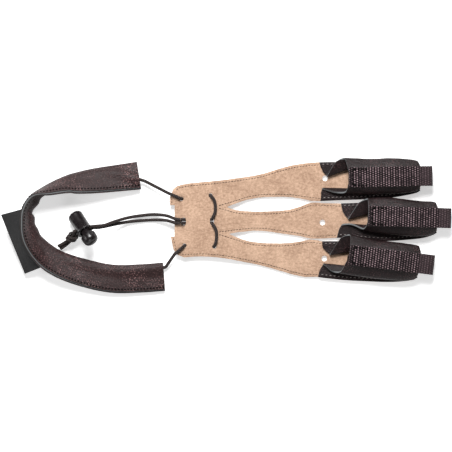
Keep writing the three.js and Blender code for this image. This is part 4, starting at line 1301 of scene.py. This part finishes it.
elastic = Finish("ribbed_elastic", {"Roughness": 0.78, "Specular IOR Level": 0.15, "Sheen Weight": 0.05})
elastic_uv = elastic.coordinates("UV")
elastic_along = elastic.part(elastic_uv, 0)
elastic_across = elastic.part(elastic_uv, 1)
column = elastic_along * (1 / rib_pitch)
ribs = (column * (2 * math.pi)).maths("COSINE") * 0.5 + 0.5
stagger = column.maths("ROUND") * math.pi
dots = (elastic_across * (2 * math.pi / dot_pitch) + stagger).maths("COSINE") * 0.5 + 0.5
loop_part = elastic.ramp(elastic_along, stall_length * 0.66, stall_length * 0.70)
# Pale dots on the rib crests: painted sheen of the thread floats, made patchy and dimmer over the loop
# and near the mouth.
float_threads = ribs ** 2.2 * dots ** 0.9
elastic_place = elastic.coordinates("Object")
sheen_patches = elastic.ramp(elastic.noise(elastic_place, 420, 3.0), 0.25, 0.75)
column_number = {"W": column.maths("ROUND")}
each_column = elastic.node("ShaderNodeTexWhiteNoise", {"noise_dimensions": "1D"}, column_number)
fuzz = elastic.noise(elastic_place, 1900, 3.0, 0.8)
mouth_part = elastic.ramp(elastic_along, 0.0034, 0.0024)
dimmer_at_loop_and_mouth = (1 - loop_part * 0.72) * (1 - mouth_part * 0.25)
# The light elastic colour is this painted sheen.
thread_sheen = float_threads * (sheen_patches * 0.6 + each_column * 0.35 + 0.2) * dimmer_at_loop_and_mouth
tone = elastic.ramp(thread_sheen * 0.9 + fuzz * (loop_part * 0.3 + 0.3), 0.19, 1.0)
elastic.give("Base Color", elastic.shade(tone, (0.0065, 0.0036, 0.0044, 1), (0.42, 0.29, 0.315, 1)))
elastic.relief(float_threads * 0.7 + ribs * 0.3, 0.00025)


def webbing_course(finger):
    """Line of the webbing's middle as (share along the stall, height, crown) from mouth to lap."""

    def height(at):
        return flange_middle + lookup(rise_places, rise_shares, min(at, 1)) * stall_rise + band_offset

    low = palm_thickness + cord_gap + webbing_thickness / 2
    mouth = finger["mouth"]
    radius = (height(1) - low) / 2
    turn_at = 1 + (finger["loop_reach"] - radius) / stall_length
    course = []
    for k in range(31):
        at = mouth + (1 - mouth) * k / 30
        course.append((at, height(at), webbing_crown))
    for k in range(25):
        angle = math.pi * (0.5 - k / 24)
        at = turn_at + radius * math.cos(angle) / stall_length
        course.append((at, low + radius + radius * math.sin(angle), webbing_crown * (1 - k / 24)))
    course.append((1 - webbing_lap / stall_length, low, 0))
    return course


for name, finger in fingers.items():
    course = [Vector((at * stall_length, height, crown)) for at, height, crown in webbing_course(finger)]
    ribs_along = round(even_route(course, 2)[1] / rib_pitch)
    stations = ribs_along * 6
    band, band_length = even_route(course, stations)

    def band_surface(u, v, band=band, stations=stations, finger=finger, length=band_length):
        k = round(u * stations)
        point = band[k]
        ahead = band[min(k + 1, stations)] - band[max(k - 1, 0)]
        normal = Vector((-ahead.y, ahead.x)).normalized()
        share = 2 * v - 1
        rib = (0.5 + 0.5 * math.cos(2 * math.pi * u * length / rib_pitch)) * rib_depth
        width = webbing_width / 2 - 0.00012 * (1 - math.cos(2 * math.pi * u * length / rib_pitch))
        lifted = point.y + point.z * (1 - share * share) + normal.y * rib
        return stall_point(finger, (point.x + normal.x * rib) / stall_length, share * width, lifted)

    band_form = grid_form(stations, 22, band_surface, (band_length, webbing_width))
    band_piece = leather_piece(
        f"{name}_elastic_band", band_form, webbing_thickness * 0.8, [elastic, elastic],
        edge=0.0002,
    )
    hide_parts(f"{name}_elastic")

    box_stitches = bmesh.new()
    mouth = finger["mouth"]
    box_end = mouth + box_length / stall_length
    box_half = webbing_width / 2 - box_margin
    box_start = mouth + box_inset / stall_length
    box_line = [(box_end, -box_half), (box_start, -box_half), (box_start, box_half), (box_end, box_half)]
    corners = []
    for at, across in box_line:
        share = across / (webbing_width / 2)
        crown = webbing_crown * (1 - share * share)
        top = flange_middle + stall_rise + band_offset + webbing_thickness / 2 + crown
        corners.append(stall_point(finger, at, across, top))
    for start, end in zip(corners, corners[1:]):
        stitch_row(box_stitches, [start, end], [Vector((0, 0, 1))], **box_stitch)
    finished_piece(f"{name}_box_stitches", box_stitches, [dark_thread_and_dent_shade])

# Pale floor and soft studio light, most of it from the top of the picture.
floor_form = bmesh.new()
bmesh.ops.create_grid(floor_form, x_segments=1, y_segments=1, size=3.0)
floor_constants = {"Roughness": 0.9, "Specular IOR Level": 0.1, "Emission Strength": 0.55}
floor_finish = Finish("pale_floor", floor_constants)
floor_grain = floor_finish.noise(floor_finish.coordinates("Object"), 30)
floor_tone = floor_finish.shade(floor_grain, (0.93, 0.93, 0.93, 1), (0.95, 0.95, 0.95, 1))
floor_finish.give("Base Color", floor_tone)
floor_finish.give("Emission Color", floor_tone)
floor_mesh = bpy.data.meshes.new("floor")
floor_form.to_mesh(floor_mesh)
floor_form.free()
floor_mesh.materials.append(floor_finish.material)
floor = bpy.data.objects.new("floor", floor_mesh)
floor.location.z = -0.0002
floor.visible_diffuse = False
bpy.context.scene.collection.objects.link(floor)

world = bpy.data.worlds.new("studio")
world.use_nodes = True
sky = world.node_tree.nodes["Background"]
sky.inputs["Color"].default_value = (1, 0.985, 0.98, 1)
sky.inputs["Strength"].default_value = 0.11
bpy.context.scene.world = world
bpy.context.scene.view_settings.view_transform = "Standard"
for name, place, size, power in (
    ("key_light", (-0.1, 0.92, 1.08), 0.7, 30),
    ("left_light", (-1.0, 0.0, 0.42), 0.22, 2.2),
    ("low_light", (0.3, -1.0, 0.65), 0.6, 3.2),
):
    lamp_data = bpy.data.lights.new(name, "AREA")
    lamp_data.shape = "DISK"
    lamp_data.size = size
    lamp_data.energy = power
    lamp = bpy.data.objects.new(name, lamp_data)
    lamp.location = place
    lamp.rotation_euler = (-Vector(place)).to_track_quat("-Z", "Y").to_euler()
    bpy.context.scene.collection.objects.link(lamp)
